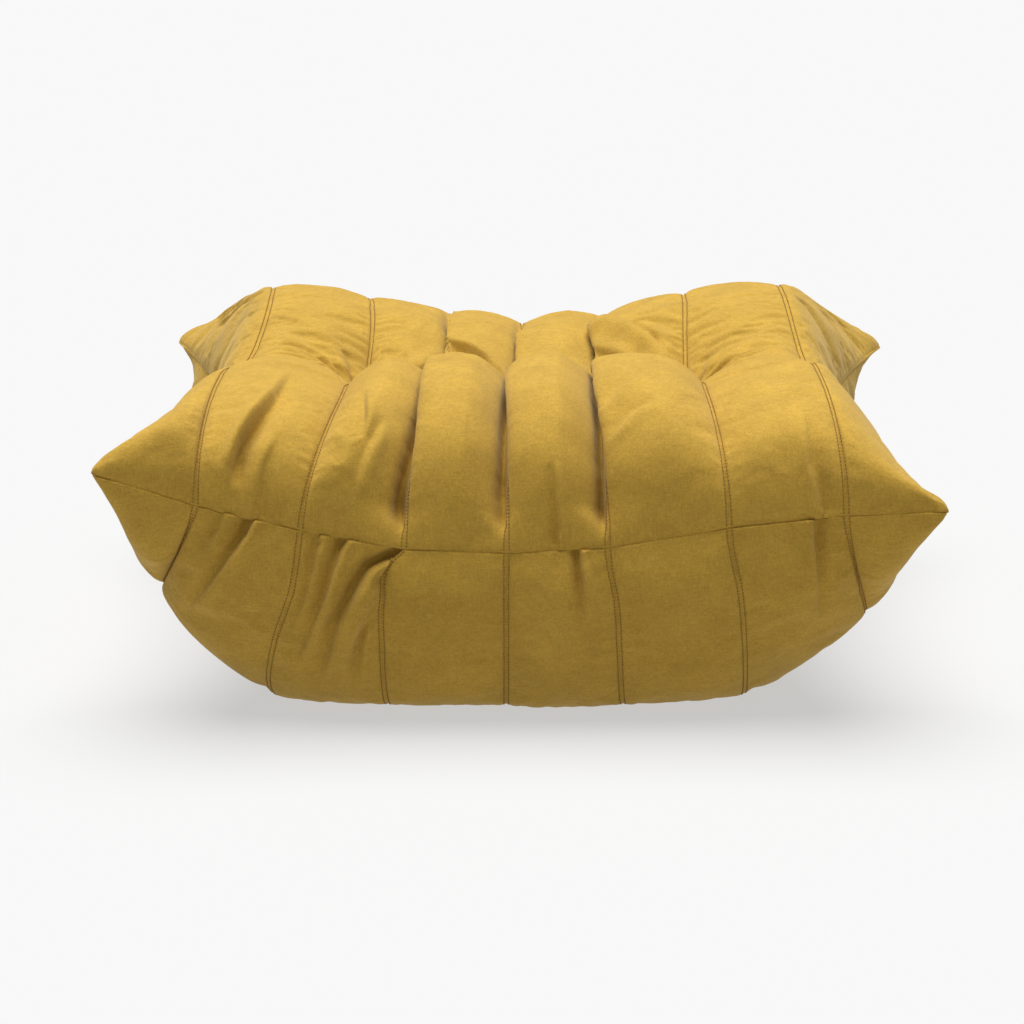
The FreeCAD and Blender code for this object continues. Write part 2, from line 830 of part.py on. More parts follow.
def make_loop(index):
    """A flattened loop of tape: a box with a box cut out of it."""
    tape = cell("loop_tape")
    outside = box(
        "LoopOutside",
        cell("loop_depth"),
        cell("loop_width"),
        cell("loop_height"),
        f"{tuft_x(index)} - {cell('loop_depth')} / 2",
        f"-{cell('loop_width')} / 2",
        cell("loop_bottom"),
    )
    inside = box(
        "LoopInside",
        f"{cell('loop_depth')} * 2",
        f"{cell('loop_width')} - 2 * {tape}",
        f"{cell('loop_height')} - 2 * {tape}",
        f"{tuft_x(index)} - {cell('loop_depth')}",
        f"-{cell('loop_width')} / 2 + {tape}",
        f"{cell('loop_bottom')} + {tape}",
    )
    loop = doc.addObject("Part::Cut", "Loop")
    loop.Base = outside
    loop.Tool = inside
    return loop


# --- The assembly ------------------------------------------------------------------------------

for strip in range(1, 9):
    make_upper_strip(strip)
make_corner_strip(1, -1)
make_flank_strip(2, -1)
for at_back in (False, True):
    for strip in range(3, 7):
        make_face_strip(strip, at_back)
make_flank_strip(7, 1)
make_corner_strip(8, 1)
make_base_cloth()
make_zip_rows()
make_slider()
make_pull_tab()
make_slab(
    "foam_base_slab",
    cell("foam_bottom"),
    f"{cell('foam_split')} - {cell('layer_gap')}",
    ("slab_low_width", "slab_low_depth"),
    ("slab_split_width", "slab_split_depth"),
)
make_slab(
    "foam_middle_slab",
    cell("foam_split"),
    cell("foam_top"),
    ("slab_split_width", "slab_split_depth"),
    ("slab_top_width", "slab_top_depth"),
)
make_roll("foam_front_roll", -1)
make_roll("foam_rear_roll", 1)
make_corner_fills()
tuft_row("tuft_twines", make_twine)
tuft_row("tuft_anchor_discs", make_disc)
tuft_row("seam_loops", make_loop)
doc.recompute()

failed = [thing.Label for thing in doc.Objects if "Invalid" in thing.State or "Error" in thing.State]
assert not failed, f"not rebuilt: {failed}"
for node in nodes:
    assert not node.Shape.isNull() and node.Shape.isValid(), f"no valid shape: {node.Label}"

os.makedirs("parts", exist_ok=True)
for node in nodes:
    node.Shape.exportStep(f"parts/{node.Label}.step")
print(f"{len(nodes)} nodes written")
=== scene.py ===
"""The looks of a low floor cushion: a mustard suede cover of eight channel-quilted strips, two humps either
side of a tufted valley, four pointed corners, and a zipped base. Metres, +Z up, the CAD model's frame."""

import math

import bpy
import numpy as np
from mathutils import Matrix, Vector


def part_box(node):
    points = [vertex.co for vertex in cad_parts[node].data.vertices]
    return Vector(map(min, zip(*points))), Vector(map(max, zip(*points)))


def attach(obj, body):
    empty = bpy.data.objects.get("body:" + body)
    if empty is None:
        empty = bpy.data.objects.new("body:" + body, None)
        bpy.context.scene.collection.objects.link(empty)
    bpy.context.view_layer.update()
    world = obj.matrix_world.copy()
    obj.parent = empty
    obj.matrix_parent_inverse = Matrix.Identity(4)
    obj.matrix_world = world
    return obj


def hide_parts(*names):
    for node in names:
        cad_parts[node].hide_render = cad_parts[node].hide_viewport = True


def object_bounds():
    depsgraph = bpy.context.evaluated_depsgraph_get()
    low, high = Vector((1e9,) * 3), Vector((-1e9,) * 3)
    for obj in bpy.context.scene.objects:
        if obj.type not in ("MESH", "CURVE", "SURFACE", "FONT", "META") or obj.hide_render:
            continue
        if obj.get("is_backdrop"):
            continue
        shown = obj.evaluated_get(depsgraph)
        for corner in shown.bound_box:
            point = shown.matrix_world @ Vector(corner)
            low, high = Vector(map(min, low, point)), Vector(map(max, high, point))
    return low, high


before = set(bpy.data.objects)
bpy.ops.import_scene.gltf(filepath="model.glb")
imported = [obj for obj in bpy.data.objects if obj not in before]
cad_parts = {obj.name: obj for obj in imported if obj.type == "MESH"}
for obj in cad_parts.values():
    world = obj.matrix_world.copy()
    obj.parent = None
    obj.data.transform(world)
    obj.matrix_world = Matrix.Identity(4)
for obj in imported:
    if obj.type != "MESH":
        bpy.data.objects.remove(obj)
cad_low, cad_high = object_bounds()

MM = 0.001

# --- The cover's lines -------------------------------------------------------------------------
# Strips are numbered 1 to 8 from the left, and seam k is the right edge of strip k. A station v runs
# from -1 at the front perimeter seam to +1 at the back one: the humps' crests are near -0.5 and +0.5
# and the valley is at 0. A place w runs across a strip, from 0 at its left edge to 1 at its right edge.
# Distances here are departures, in millimetres, from the CAD model's even lines.

HALF_WIDTH = cad_high[0]
HALF_DEPTH = cad_high[1]
# The four pointed corners, keyed by side (-1 left, +1 right) and end (-1 front, +1 back)
CORNERS = {
    (-1, -1): (-0.442, -0.400, 0.277),
    (1, -1): (0.427, -0.400, 0.236),
    (-1, 1): (-0.430, 0.400, 0.258),
    (1, 1): (0.442, 0.400, 0.251),
}
SIDE_WAIST = 0.345
# How far back a side runs straight before it turns out to its corner
SIDE_SHOULDER = 0.29
WAIST_HEIGHT = 0.236
SEAM_LOW = 0.191
SEAM_RISE = 0.072
SEAM_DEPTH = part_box("upper_strip_4")[1].y
RIM_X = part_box("base_cloth_front")[1].x
RIM_Y = -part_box("base_cloth_front")[0].y
FRONT_CREST_Y = 0.178
BACK_CREST_Y = 0.190
SEAM_X = {k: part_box(f"upper_strip_{k + 1}")[0].x for k in range(1, 7)}
SEAM_X[7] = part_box("upper_strip_7")[1].x

# Sideways drift of each upper seam at the front, the front crest, the valley, the back crest, the back
DRIFT_STATIONS = (-1, -0.5, 0, 0.5, 1)
SEAM_DRIFT = {
    1: (4, 15, 30, 42, 8),
    2: (1, 38, 48, 51, 10),
    3: (-3, 24, 30, 40, 6),
    4: (-8, 1, 8, 11, 4),
    5: (-14, -16, -11, -3, -4),
    6: (0, -15, -22, -17, -2),
    7: (10, -4, -2, -10, 2),
}
# Lift of the perimeter seam where seams 1 to 7 meet it
FRONT_LIFT = {1: 7, 2: 4, 3: -2, 4: 0, 5: 3, 6: 11, 7: 0}
BACK_LIFT = {1: 0, 2: 0, 3: 0, 4: 0, 5: 0, 6: 0, 7: 0}
# Height of each seam at the front crest, the valley and the back crest
SEAM_RIDGE = {
    1: (333, 312, 350),
    2: (318, 270, 337),
    3: (333, 268, 319),
    4: (321, 266, 306),
    5: (328, 268, 314),
    6: (320, 270, 343),
    7: (340, 312, 353),
}
# How far each strip stands above its seams at the front crest, the valley and the back crest
STRIP_PUFF = {
    2: (17, 28, 6),
    3: (20, 28, 2),
    4: (22, 28, 5),
    5: (30, 30, 9),
    6: (26, 28, 4),
    7: (10, 28, 5),
}
# How far the two corner strips' middles stand out from a straight run between their edges, at each station:
# outwards, towards the nearer end, and up
RIB_STATIONS = (-1, -0.97, -0.9, -0.78, -0.65, -0.5, 0, 0.5, 0.65, 0.78, 0.9, 0.97, 1)
CORNER_RIB = {
    1: (
        (0, 0, 0, 2, 4, 9, 15, 8, 4, 2, 0, 0, 0),
        (0, 1, 2, 8, 7, 0, 0, 0, 7, 7, 2, 1, 0),
        (0, 8, 17, 25, 22, 15, 13, 13, 12, 11, 9, 5, 0),
    ),
    8: (
        (0, 0, 0, 2, 4, 9, 15, 8, 4, 2, 0, 0, 0),
        (0, 1, 3, 8, 7, 0, 0, 0, 7, 7, 2, 1, 0),
        (0, 6, 9, 7, 6, 8, 12, 11, 14, 17, 15, 8, 0),
    ),
}
RIB_BOXY = 0.64
SEAM_BOXY = 0.72
# The tufts pull these seams down in the valley
TUFTED_SEAMS = (2, 3, 4, 5, 6)
TUFT_DEPTH = 0.014
TUFT_WIDTH = 0.024
# Lower seams: sideways drift at the base's edge, at the front and at the back
BASE_SPREAD = 1.1
BASE_DRIFT = {2: -11, 3: -11, 4: -7, 5: -3, 6: 6}
# How far each lower seam bows sideways from a straight line on its way down, at BOW_STEPS
BOW_STEPS = (0, 0.06, 0.25, 0.5, 0.75, 1)
FACE_BOW = {
    2: (0, 0, -1, -12, -14, 0),
    3: (0, -13, -18, -14, -8, 0),
    4: (0, 0, 0, 0, 0, 0),
    5: (0, 0, 4, 3, 1, 0),
    6: (0, 0, 5, 6, 4, 0),
}
# The seams that run round the flanks: how far out, and how high, at the turn and midway along the side
FLANK_TURN = {-1: (-0.380, 0.133), 1: (0.354, 0.102)}
FLANK_MIDDLE = {-1: (-0.318, 0.132), 1: (0.314, 0.118)}
# The foot of the flank, and how far the strip above it swells
FLANK_FOOT = {-1: 0.246, 1: 0.236}
FLANK_SWELL = {-1: 23, 1: 14}
FLANK_FOOT_PLACE = 0.82
FLANK_TURN_Y = 0.305
FLANK_BOW = 0.012
FLANK_ROUNDING = 0.04
# How far the corner strips swell, from the corner to the middle of the side, by side and end
CORNER_REACH = (0, 0.1, 0.25, 0.5, 1)
CORNER_SWELL = {
    (-1, -1): (0, 15, 30, 40, 22),
    (1, -1): (0, 15, 26, 32, 20),
    (-1, 1): (0, 5, 12, 20, 24),
    (1, 1): (0, 5, 12, 19, 22),
}


def unit(value):
    """value, held between 0 and 1."""
    return np.clip(value, 0, 1)


def eased(f):
    """f, from 0 to 1, made to start and stop gently."""
    return f * f * (3 - 2 * f)


def smooth(knots, values, at):
    """A smooth curve through values at knots."""
    knots = np.asarray(knots, float)
    values = np.asarray(values, float)
    slopes = np.gradient(values, knots)
    i = np.clip(np.searchsorted(knots, at, "right") - 1, 0, len(knots) - 2)
    span = knots[i + 1] - knots[i]
    f = (at - knots[i]) / span
    from_left = (2 * f**3 - 3 * f**2 + 1) * values[i] + (f**3 - 2 * f**2 + f) * span * slopes[i]
    from_right = (3 * f**2 - 2 * f**3) * values[i + 1] + (f**3 - f**2) * span * slopes[i + 1]
    return from_left + from_right


def side_line(sign, v):
    """The perimeter seam down the left (-1) or right (+1) side, for stations v."""
    reach = np.abs(v)
    far = SIDE_SHOULDER + (HALF_DEPTH - SIDE_SHOULDER) * (1 - unit((1 - reach) / 0.5) ** 1.6)
    y = np.where(reach <= 0.5, 2 * SIDE_SHOULDER * reach, far)
    pull = (y / HALF_DEPTH) ** 2
    corner = np.where((v < 0)[:, None], CORNERS[sign, -1], CORNERS[sign, 1])
    x = sign * SIDE_WAIST + (corner[:, 0] - sign * SIDE_WAIST) * pull
    z = WAIST_HEIGHT + (corner[:, 2] - WAIST_HEIGHT) * pull
    return np.stack([x, y * np.sign(v), z], -1)


def profile(v, edges, heights, boxy):
    """Depth and height of a line over the top: up the front, over the humps and the valley, down the back.
    edges are its heights at the front and back perimeter seams, heights those at the crests and the valley.
    A lower boxy makes its shoulders squarer."""
    reach = np.abs(v)
    front, valley, back = heights
    crest = np.where(v < 0, front, back)
    crest_y = np.where(v < 0, FRONT_CREST_Y, BACK_CREST_Y)
    edge = np.where(v < 0, *edges)
    angle = np.pi * np.clip(1 - reach, 0, 0.5)
    face_y = crest_y + (SEAM_DEPTH - crest_y) * np.cos(angle) ** boxy
    face_z = edge + (crest - edge) * np.sin(angle) ** boxy
    top_y = crest_y * reach / 0.5
    top_z = valley + (crest - valley) * (1 - np.cos(2 * np.pi * reach)) / 2
    on_face = reach > 0.5
    return np.where(on_face, face_y, top_y) * np.sign(v), np.where(on_face, face_z, top_z)


def seam_ends(k):
    """Heights of seam k where it meets the front and the back perimeter seam."""
    found = []
    for end, lifts in ((0, FRONT_LIFT), (-1, BACK_LIFT)):
        x = SEAM_X[k] + SEAM_DRIFT[k][end] * MM
        found.append(SEAM_LOW + SEAM_RISE * (x / HALF_WIDTH) ** 2 + lifts[k] * MM)
    return found


def seam_line(k, v):
    """Upper seam k over the top, for stations v."""
    x = SEAM_X[k] + smooth(DRIFT_STATIONS, SEAM_DRIFT[k], v) * MM
    y, z = profile(v, seam_ends(k), [height * MM for height in SEAM_RIDGE[k]], SEAM_BOXY)
    reach = np.abs(v)
    if k in TUFTED_SEAMS:
        z = z - TUFT_DEPTH * np.exp(-((y / TUFT_WIDTH) ** 2))
    if k + 1 in ROLL_OVER:
        sunk = CREASE_DEPTH * MM * rolled(k + 1, v)
        lean = unit((reach - 0.5) / 0.2)
        y = y - np.sign(v) * sunk * lean
    return np.stack([x, y, z], -1)


# The strips whose left edge rolls over the seam: how far, and between which stations
ROLL_OVER = {
    4: (18, -1.04, 0.56),
    5: (16, -0.96, 0.50),
    6: (20, -1.02, 0.50),
}
ROLL_END = 0.06
ROLL_FADE = 0.42
CREASE_DEPTH = 13
UNDER_DEPTH = 28
UNDER_REACH = 0.10
UNDER_SLOPE = 9
UNDER_SLOPE_REACH = 0.28
ROLL_RISE = 0.3


def window(v, low, high, ease=0.22):
    """1 between stations low and high, easing to 0 outside them."""
    rise = unit((v - low) / ease + 0.5)
    fall = unit((high - v) / ease + 0.5)
    return eased(rise) * eased(fall)


def rolled(k, v):
    """How much of strip k's roll over its left seam there is at stations v: none at the perimeter seam."""
    if k not in ROLL_OVER:
        return np.zeros_like(v)
    end = unit((1 - np.abs(v)) / ROLL_END)
    return window(v, *ROLL_OVER[k][1:]) * end * end * (3 - 2 * end)


def edge_line(k, v):
    """The line at the right of strip k: a side of the perimeter seam, or a seam over the top."""
    if k in (0, 8):
        return side_line(-1 if k == 0 else 1, v)
    return seam_line(k, v)


def normals_of(net):
    """Unit normals of a net of points, from its own differences."""
    across = np.gradient(net, axis=0)
    along = np.gradient(net, axis=1)
    normal = np.cross(across, along)
    return normal / np.maximum(np.linalg.norm(normal, axis=-1, keepdims=True), 1e-9)


# The part of a strip's width, at each edge, that the topstitching holds down
SEAM_BAND = 0.006

def pillow(w, tucked_left=0, tucked_right=0, fullness=0.95):
    """A strip's height across itself, 0 at its seams: steep at a free edge, gentle at a tucked one."""
    reach = unit(np.abs(2 * w - 1) / (1 - 2 * SEAM_BAND))
    free = unit(1 - reach**2.4) ** fullness
    tucked = unit(1 - reach**1.35) ** 1.35
    soft = np.where(w < 0.5, tucked_left, tucked_right)
    return free * (1 - soft) + tucked * soft


def rib_lift(k, v, middle):
    """How far the middle of strip k stands out from middle, the straight run between its edges."""
    if k in CORNER_RIB:
        out, along, up = (smooth(RIB_STATIONS, values, v) * MM for values in CORNER_RIB[k])
        return np.stack([out * (-1 if k == 1 else 1), along * np.sign(v), up], -1)
    edges = np.mean([seam_ends(k - 1), seam_ends(k)], axis=0)
    heights = (np.mean([SEAM_RIDGE[k - 1], SEAM_RIDGE[k]], axis=0) + STRIP_PUFF[k]) * MM
    y, z = profile(v, edges, heights, RIB_BOXY)
    return np.stack([0 * v, y - middle[:, 1], z - middle[:, 2]], -1)


def upper_strip(k, w, v):
    """Points of upper strip k, at every w and v."""
    left = edge_line(k - 1, v)[None]
    right = edge_line(k, v)[None]
    across = w[:, None, None]
    net = left * (1 - across) + right * across
    tuck = rolled(k + 1, v)[None]
    shape = pillow(w[:, None], 0, tuck, 0.6 if k in CORNER_RIB else 0.95)
    spine = normals_of(net)[len(w) // 2][None]
    lift = rib_lift(k, v, (left[0] + right[0]) / 2)
    from_seam = 1 - w[:, None]
    under = UNDER_DEPTH * np.exp(-((from_seam / UNDER_REACH) ** 2)) * (1 - w[:, None] ** 40)
    under += UNDER_SLOPE * np.exp(-((from_seam / UNDER_SLOPE_REACH) ** 2)) * (1 - w[:, None] ** 20)
    under = under * MM * tuck * np.clip((np.abs(v)[None] - 0.28) / 0.3, 0.35, 1)
    net = net + lift[None] * shape[..., None] - spine * under[..., None]
    if k in ROLL_OVER:
        reach = ROLL_OVER[k][0] * np.where(v < 0, unit((1 - np.abs(v)) / ROLL_FADE) ** 0.9, 1)[None]
        hang = (w[:, None] / 0.1) * np.exp(1 - w[:, None] / 0.1) * rolled(k, v)[None]
        net[..., 0] -= reach * MM * hang
        net += spine * (ROLL_RISE * reach * MM * hang)[..., None]
    return net


# --- The lower cover's lines -------------------------------------------------------------------

FACE_STEPS = (0, 0.25, 0.5, 0.75, 0.9, 1, 1.1, 1.2)
FACE_DEPTHS = (SEAM_DEPTH, 0.388, 0.368, 0.340, 0.319, 0.295, 0.268, RIM_Y)
# How much further in the seams at the base's rounded corners are
BASE_CORNER = (0, 0, 3, 14, 28, 36, 20, 0)
FACE_HEIGHTS = (1, 0.71, 0.43, 0.17, 0.055, 0.008, 0, 0)
# The last part of a face seam climbs to the height of the base cloth
RIM_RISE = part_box("base_cloth_front")[0].z
RIM_RISE_START = 1.08
RIM_RISE_RUN = 0.12


def face_seam(k, step, back):
    """Lower seam k down the front or back and under the base. step is 0 at the top and 1.2 at the rim."""
    drift = SEAM_DRIFT[k][-1 if back else 0]
    lifts = BACK_LIFT if back else FRONT_LIFT
    top_x = SEAM_X[k] + drift * MM
    top = SEAM_LOW + SEAM_RISE * (top_x / HALF_WIDTH) ** 2 + lifts[k] * MM
    base_x = SEAM_X[k] * BASE_SPREAD + BASE_DRIFT[k] * MM
    rim_x = base_x * RIM_X / abs(SEAM_X[2] * BASE_SPREAD + BASE_DRIFT[2] * MM)
    if k == 6:
        rim_x = RIM_X
    bow = smooth(BOW_STEPS, FACE_BOW[k], unit(step)) * (0 if back else MM)
    x = top_x + (base_x - top_x) * unit(step) + (rim_x - base_x) * unit(step - 1) / 0.2 + bow
    y = smooth(FACE_STEPS, FACE_DEPTHS, step)
    if k in (2, 6):
        y = y - smooth(FACE_STEPS, BASE_CORNER, step) * MM
    z = top * np.maximum(smooth(FACE_STEPS, FACE_HEIGHTS, step), 0)
    z = z + RIM_RISE * unit((step - RIM_RISE_START) / RIM_RISE_RUN) ** 1.5
    return np.stack([x, y if back else -y, z], -1)


def lower_face_strip(k, w, step, back):
    """Points of lower strip k (3 to 6) at the front or back, at every w and step."""
    across = w[:, None, None]
    net = face_seam(k - 1, step, back)[None] * (1 - across) + face_seam(k, step, back)[None] * across
    spine = normals_of(net)[len(w) // 2][None] * (1 if not back else -1)
    heights = smooth((0, 0.12, 0.4, 0.8, 1.0, 1.2), (0, 5 * MM, 8 * MM, 8 * MM, 1 * MM, 0), step)
    shape = pillow(w[:, None])
    return net - spine * (heights[None] * shape)[..., None]


def flank_line(sign, v):
    """The seam that runs round the flank, its turns rounded."""
    ease = FLANK_ROUNDING * unit((1 - np.abs(v)) / 0.3)
    steps = ((-1, 1), (-0.5, 2), (0, 3), (0.5, 2), (1, 1))
    return sum(weight * flank_path(sign, v + step * ease) for step, weight in steps) / 9


def flank_path(sign, v):
    """The flank seam's course: from the front perimeter seam, back along the side, to the back one."""
    k = 1 if sign < 0 else 7
    reach = np.abs(v)
    turn_x, turn_z = FLANK_TURN[sign]
    middle_x, middle_z = FLANK_MIDDLE[sign]
    start = seam_line(k, np.array([-1.0, 1.0]))
    start_x = np.where(v < 0, start[0, 0], start[1, 0])
    start_z = np.where(v < 0, start[0, 2], start[1, 2])
    f = unit((1 - reach) / 0.5)
    along = unit(reach / 0.5)
    bow = np.sin(np.pi * f) * FLANK_BOW
    on_face = reach > 0.5
    x = np.where(on_face, start_x + (turn_x - start_x) * f**1.2, middle_x + (turn_x - middle_x) * along**2)
    z = np.where(on_face, start_z + (turn_z - start_z) * f, middle_z + (turn_z - middle_z) * along**2)
    y = np.where(on_face, SEAM_DEPTH + (FLANK_TURN_Y - SEAM_DEPTH) * f + bow, FLANK_TURN_Y * along)
    return np.stack([x, y * np.sign(v), z], -1)


def rim_line(sign, v):
    """Seam 2 or 6 down the front face, then the rim's inner edge along the side, then up the back."""
    k = 2 if sign < 0 else 6
    reach = np.abs(v)
    step = np.clip((1 - reach) / 0.5, 0, 1.2)
    front = face_seam(k, step, False)
    back = face_seam(k, step, True)
    rim_y = RIM_Y * reach / 0.4 * np.sign(v)
    rim = np.stack([np.full_like(v, sign * RIM_X), rim_y, np.full_like(v, RIM_RISE)], -1)
    face = np.where(v[:, None] < 0, front, back)
    return np.where(reach[:, None] < 0.4, rim, face)


def corner_strip(sign, w, v):
    """Lower strip 1 or 8: from the side's perimeter seam down to the flank seam."""
    upper = side_line(sign, v)[None]
    lower = flank_line(sign, v)[None]
    across = w[:, None, None]
    net = upper * (1 - across) + lower * across
    inward = unit((1 - np.abs(v)) / 0.5)
    ends = [smooth(CORNER_REACH, CORNER_SWELL[sign, end], inward) for end in (-1, 1)]
    swell = np.where(v < 0, *ends) * MM
    turn = unit((inward - 0.5) / 0.5)
    aim = np.stack([sign * (0.3 + 0.65 * turn), 0 * v, -0.95 + 0.65 * turn], -1)
    return net + aim[None] * (pillow(w[:, None] ** 1.2, fullness=0.9) * swell[None])[..., None]


def flank_strip(sign, w, v):
    """Lower strip 2 or 7: from the flank seam down past the base's edge to its rim."""
    upper = flank_line(sign, v)
    lower = rim_line(sign, v)
    reach = np.abs(v)
    foot = np.stack([np.full_like(v, sign * FLANK_FOOT[sign]), lower[:, 1], np.full_like(v, 0.005)], -1)
    turning = unit((reach - 0.38) / 0.16)[:, None]
    turning = eased(turning)
    foot = foot * (1 - turning) + (upper * 0.2 + lower * 0.8) * turning
    swell = FLANK_SWELL[sign] * MM * unit((1 - reach) / 0.5) ** 0.6
    turned = turning[:, 0]
    outward = np.stack([np.full_like(v, sign * 0.85), np.sign(v) * 0.7 * turned, -0.2 * (1 - turned)], -1)
    f = w[:, None, None]
    low_part = unit((f - FLANK_FOOT_PLACE) / (1 - FLANK_FOOT_PLACE))
    high_part = unit(f / FLANK_FOOT_PLACE)
    net = upper[None] * (1 - high_part) + foot[None] * high_part
    net = np.where(f > FLANK_FOOT_PLACE, foot[None] * (1 - low_part) + lower[None] * low_part, net)
    bulge = np.sin(np.pi * unit(w / 0.92))[:, None] ** 0.55 * swell[None]
    net = net + outward[None] * bulge[..., None]
    net[..., 2] = np.maximum(net[..., 2], 0)
    return net


# --- Cloth -------------------------------------------------------------------------------------
# The cover's panels are inflated together as cloth on a coarse net, held along every seam. The cloth is cut
# a little larger than the shape it starts from, so it gathers where the seams hold it. How far each point
# moved is then laid over the fine nets.

COARSE_COLUMNS = 14
COARSE_ROWS = 160
CLOTH_SETTINGS = {
    "vertex_group_mass": "held",
    "quality": 6,
    "mass": 0.35,
    "tension_stiffness": 18,
    "compression_stiffness": 18,
    "shear_stiffness": 8,
    "bending_stiffness": 1.2,
    "use_pressure": True,
    "uniform_pressure_force": 4.0,
    "shrink_min": -0.035,
    "air_damping": 3,
}
CLOTH_FRAMES = 20
# The furthest that the cloth may move a point
CLOTH_CAP = 0.016

# A panel's stations: the whole way over (v), or down a face from the perimeter seam to the rim (steps)
FACE_END = 0.4


def panels():
    """Every panel of the cover, as its name and what gives its points for places w and stations v."""
    found = {}
    for k in range(1, 9):
        found[f"upper_strip_{k}"] = lambda w, v, k=k: upper_strip(k, w, v)
    for sign, outer, inner in ((-1, 1, 2), (1, 8, 7)):
        found[f"lower_strip_{outer}"] = lambda w, v, sign=sign: corner_strip(sign, w, v)
        found[f"lower_strip_{inner}"] = lambda w, v, sign=sign: flank_strip(sign, w, v)
    for k in range(3, 7):
        found[f"lower_front_strip_{k}"] = lambda w, v, k=k: lower_face_strip(k, w, (1 + v) / 0.5, False)
        found[f"lower_rear_strip_{k}"] = lambda w, v, k=k: lower_face_strip(k, w, (1 + v) / 0.5, True)
    return found


def is_face(name):
    return "front" in name or "rear" in name


def stations(name, rows):
    """A panel's stations: rows of them over the whole cushion, or the part of those that a face has."""
    v = np.linspace(-1, 1, rows + 1)
    return v[v <= -FACE_END + 1e-9] if is_face(name) else v


def grid_quads(columns, rows, start=0):
    """The quads of a net of columns by rows points."""
    i = np.arange((columns - 1) * (rows - 1))
    a = start + (i // (rows - 1)) * rows + i % (rows - 1)
    return np.stack([a, a + rows, a + rows + 1, a + 1], -1)


def add_mesh(name, points, faces):
    """A mesh object from lists of points and faces."""
    mesh = bpy.data.meshes.new(name)
    mesh.from_pydata(points, [], faces)
    piece = bpy.data.objects.new(name, mesh)
    bpy.context.scene.collection.objects.link(piece)
    return piece


def net_mesh(name, points, quads):
    """A mesh object from arrays of points and quads, with any broken face removed."""
    piece = add_mesh(name, np.asarray(points, float).tolist(), np.asarray(quads).tolist())
    piece.data.validate()
    return piece


def ring_quads(rings, sides):
    """The quads of a tube: rings of points, sides to each ring."""
    quads = []
    for ring in range(rings - 1):
        for side in range(sides):
            a, b = ring * sides + side, ring * sides + (side + 1) % sides
            quads.append((a, b, b + sides, a + sides))
    return quads


def shell_quads(columns, rows):
    """The quads of a closed shell, made of an outer and an inner net, and the points round its edge."""
    count = columns * rows
    index = np.arange(count).reshape(columns, rows)
    ring = np.concatenate([index[:-1, 0], index[-1, :-1], index[:0:-1, -1], index[0, :0:-1]])
    following = np.roll(ring, -1)
    walls = np.stack([ring, ring + count, following + count, following], -1)
    inner = grid_quads(columns, rows, count)[:, ::-1]
    return np.concatenate([grid_quads(columns, rows), inner, walls]), ring


def inflate():
    """How far the cloth moves each coarse point of each panel."""
    w = np.linspace(0, 1, COARSE_COLUMNS + 1)
    nets, points, quads, held = {}, [], [], []
    start = 0
    for name, shape in panels().items():
        v = stations(name, COARSE_ROWS)
        net = shape(w, v)
        nets[name] = net
        columns, rows = net.shape[:2]
        pinned = np.zeros((columns, rows), bool)
        pinned[[0, -1]] = True
        pinned[:, [0, -1]] = True
        if is_face(name):
            pinned[:, v > -0.52] = True
        panel_quads = grid_quads(columns, rows, start)
        if needs_flip(name):
            panel_quads = panel_quads[:, ::-1]
        points.append(net.reshape(-1, 3))
        quads.append(panel_quads)
        held.append(pinned.reshape(-1))
        start += columns * rows
    points, quads, held = np.concatenate(points), np.concatenate(quads), np.concatenate(held)
    keys, first, back = np.unique(np.round(points, 5), axis=0, return_index=True, return_inverse=True)
    back = back.reshape(-1)
    welded_held = np.zeros(len(keys), bool)
    np.logical_or.at(welded_held, back, held)
    welded_quads = back[quads]
    sheet = net_mesh("cloth_net", points[first], welded_quads)
    group = sheet.vertex_groups.new(name="held")
    group.add(np.flatnonzero(welded_held).tolist(), 1.0, "REPLACE")
    cloth = sheet.modifiers.new("cloth", "CLOTH")
    setting = cloth.settings
    for key, value in CLOTH_SETTINGS.items():
        setattr(setting, key, value)
    setting.effector_weights.gravity = 0
    cloth.collision_settings.use_collision = False
    cloth.collision_settings.use_self_collision = False
    cloth.point_cache.frame_start = 1
    cloth.point_cache.frame_end = CLOTH_FRAMES
    for frame_number in range(1, CLOTH_FRAMES + 1):
        bpy.context.scene.frame_set(frame_number)
    settled = sheet.evaluated_get(bpy.context.evaluated_depsgraph_get()).to_mesh()
    after = np.zeros(len(settled.vertices) * 3)
    settled.vertices.foreach_get("co", after)
    after = after.reshape(-1, 3)[back]
    bpy.data.objects.remove(sheet)
    bpy.context.scene.frame_set(1)
    moved = after - points
    size = np.linalg.norm(moved, axis=1, keepdims=True)
    moved *= np.minimum(1, CLOTH_CAP / np.maximum(size, 1e-9))
    found, start = {}, 0
    for name, net in nets.items():
        count = net.shape[0] * net.shape[1]
        found[name] = moved[start : start + count].reshape(net.shape)
        start += count
    return found


def softened(net):
    """A net with its wrinkles smoothed away along the strip. Its two seams stay where they are."""
    for _ in range(SOFTEN_PASSES):
        padded = np.pad(net, [(0, 0), (1, 1), (0, 0)], mode="edge")
        net = 0.5 * net + 0.25 * (padded[:, :-2] + padded[:, 2:])
    return net


# How much of the cloth's wrinkles shows at each station, and how much of its broad swelling
SOFTEN_PASSES = 40
WRINKLE_STATIONS = (-1, -0.92, -0.62, -0.45, -0.2, 0.4, 0.7, 0.93, 1)
UPPER_WRINKLES = (0.0, 0.3, 0.35, 0.5, 0.75, 0.85, 0.7, 0.5, 0.0)
LOWER_WRINKLES = 0.45
SWELLING = 0.15


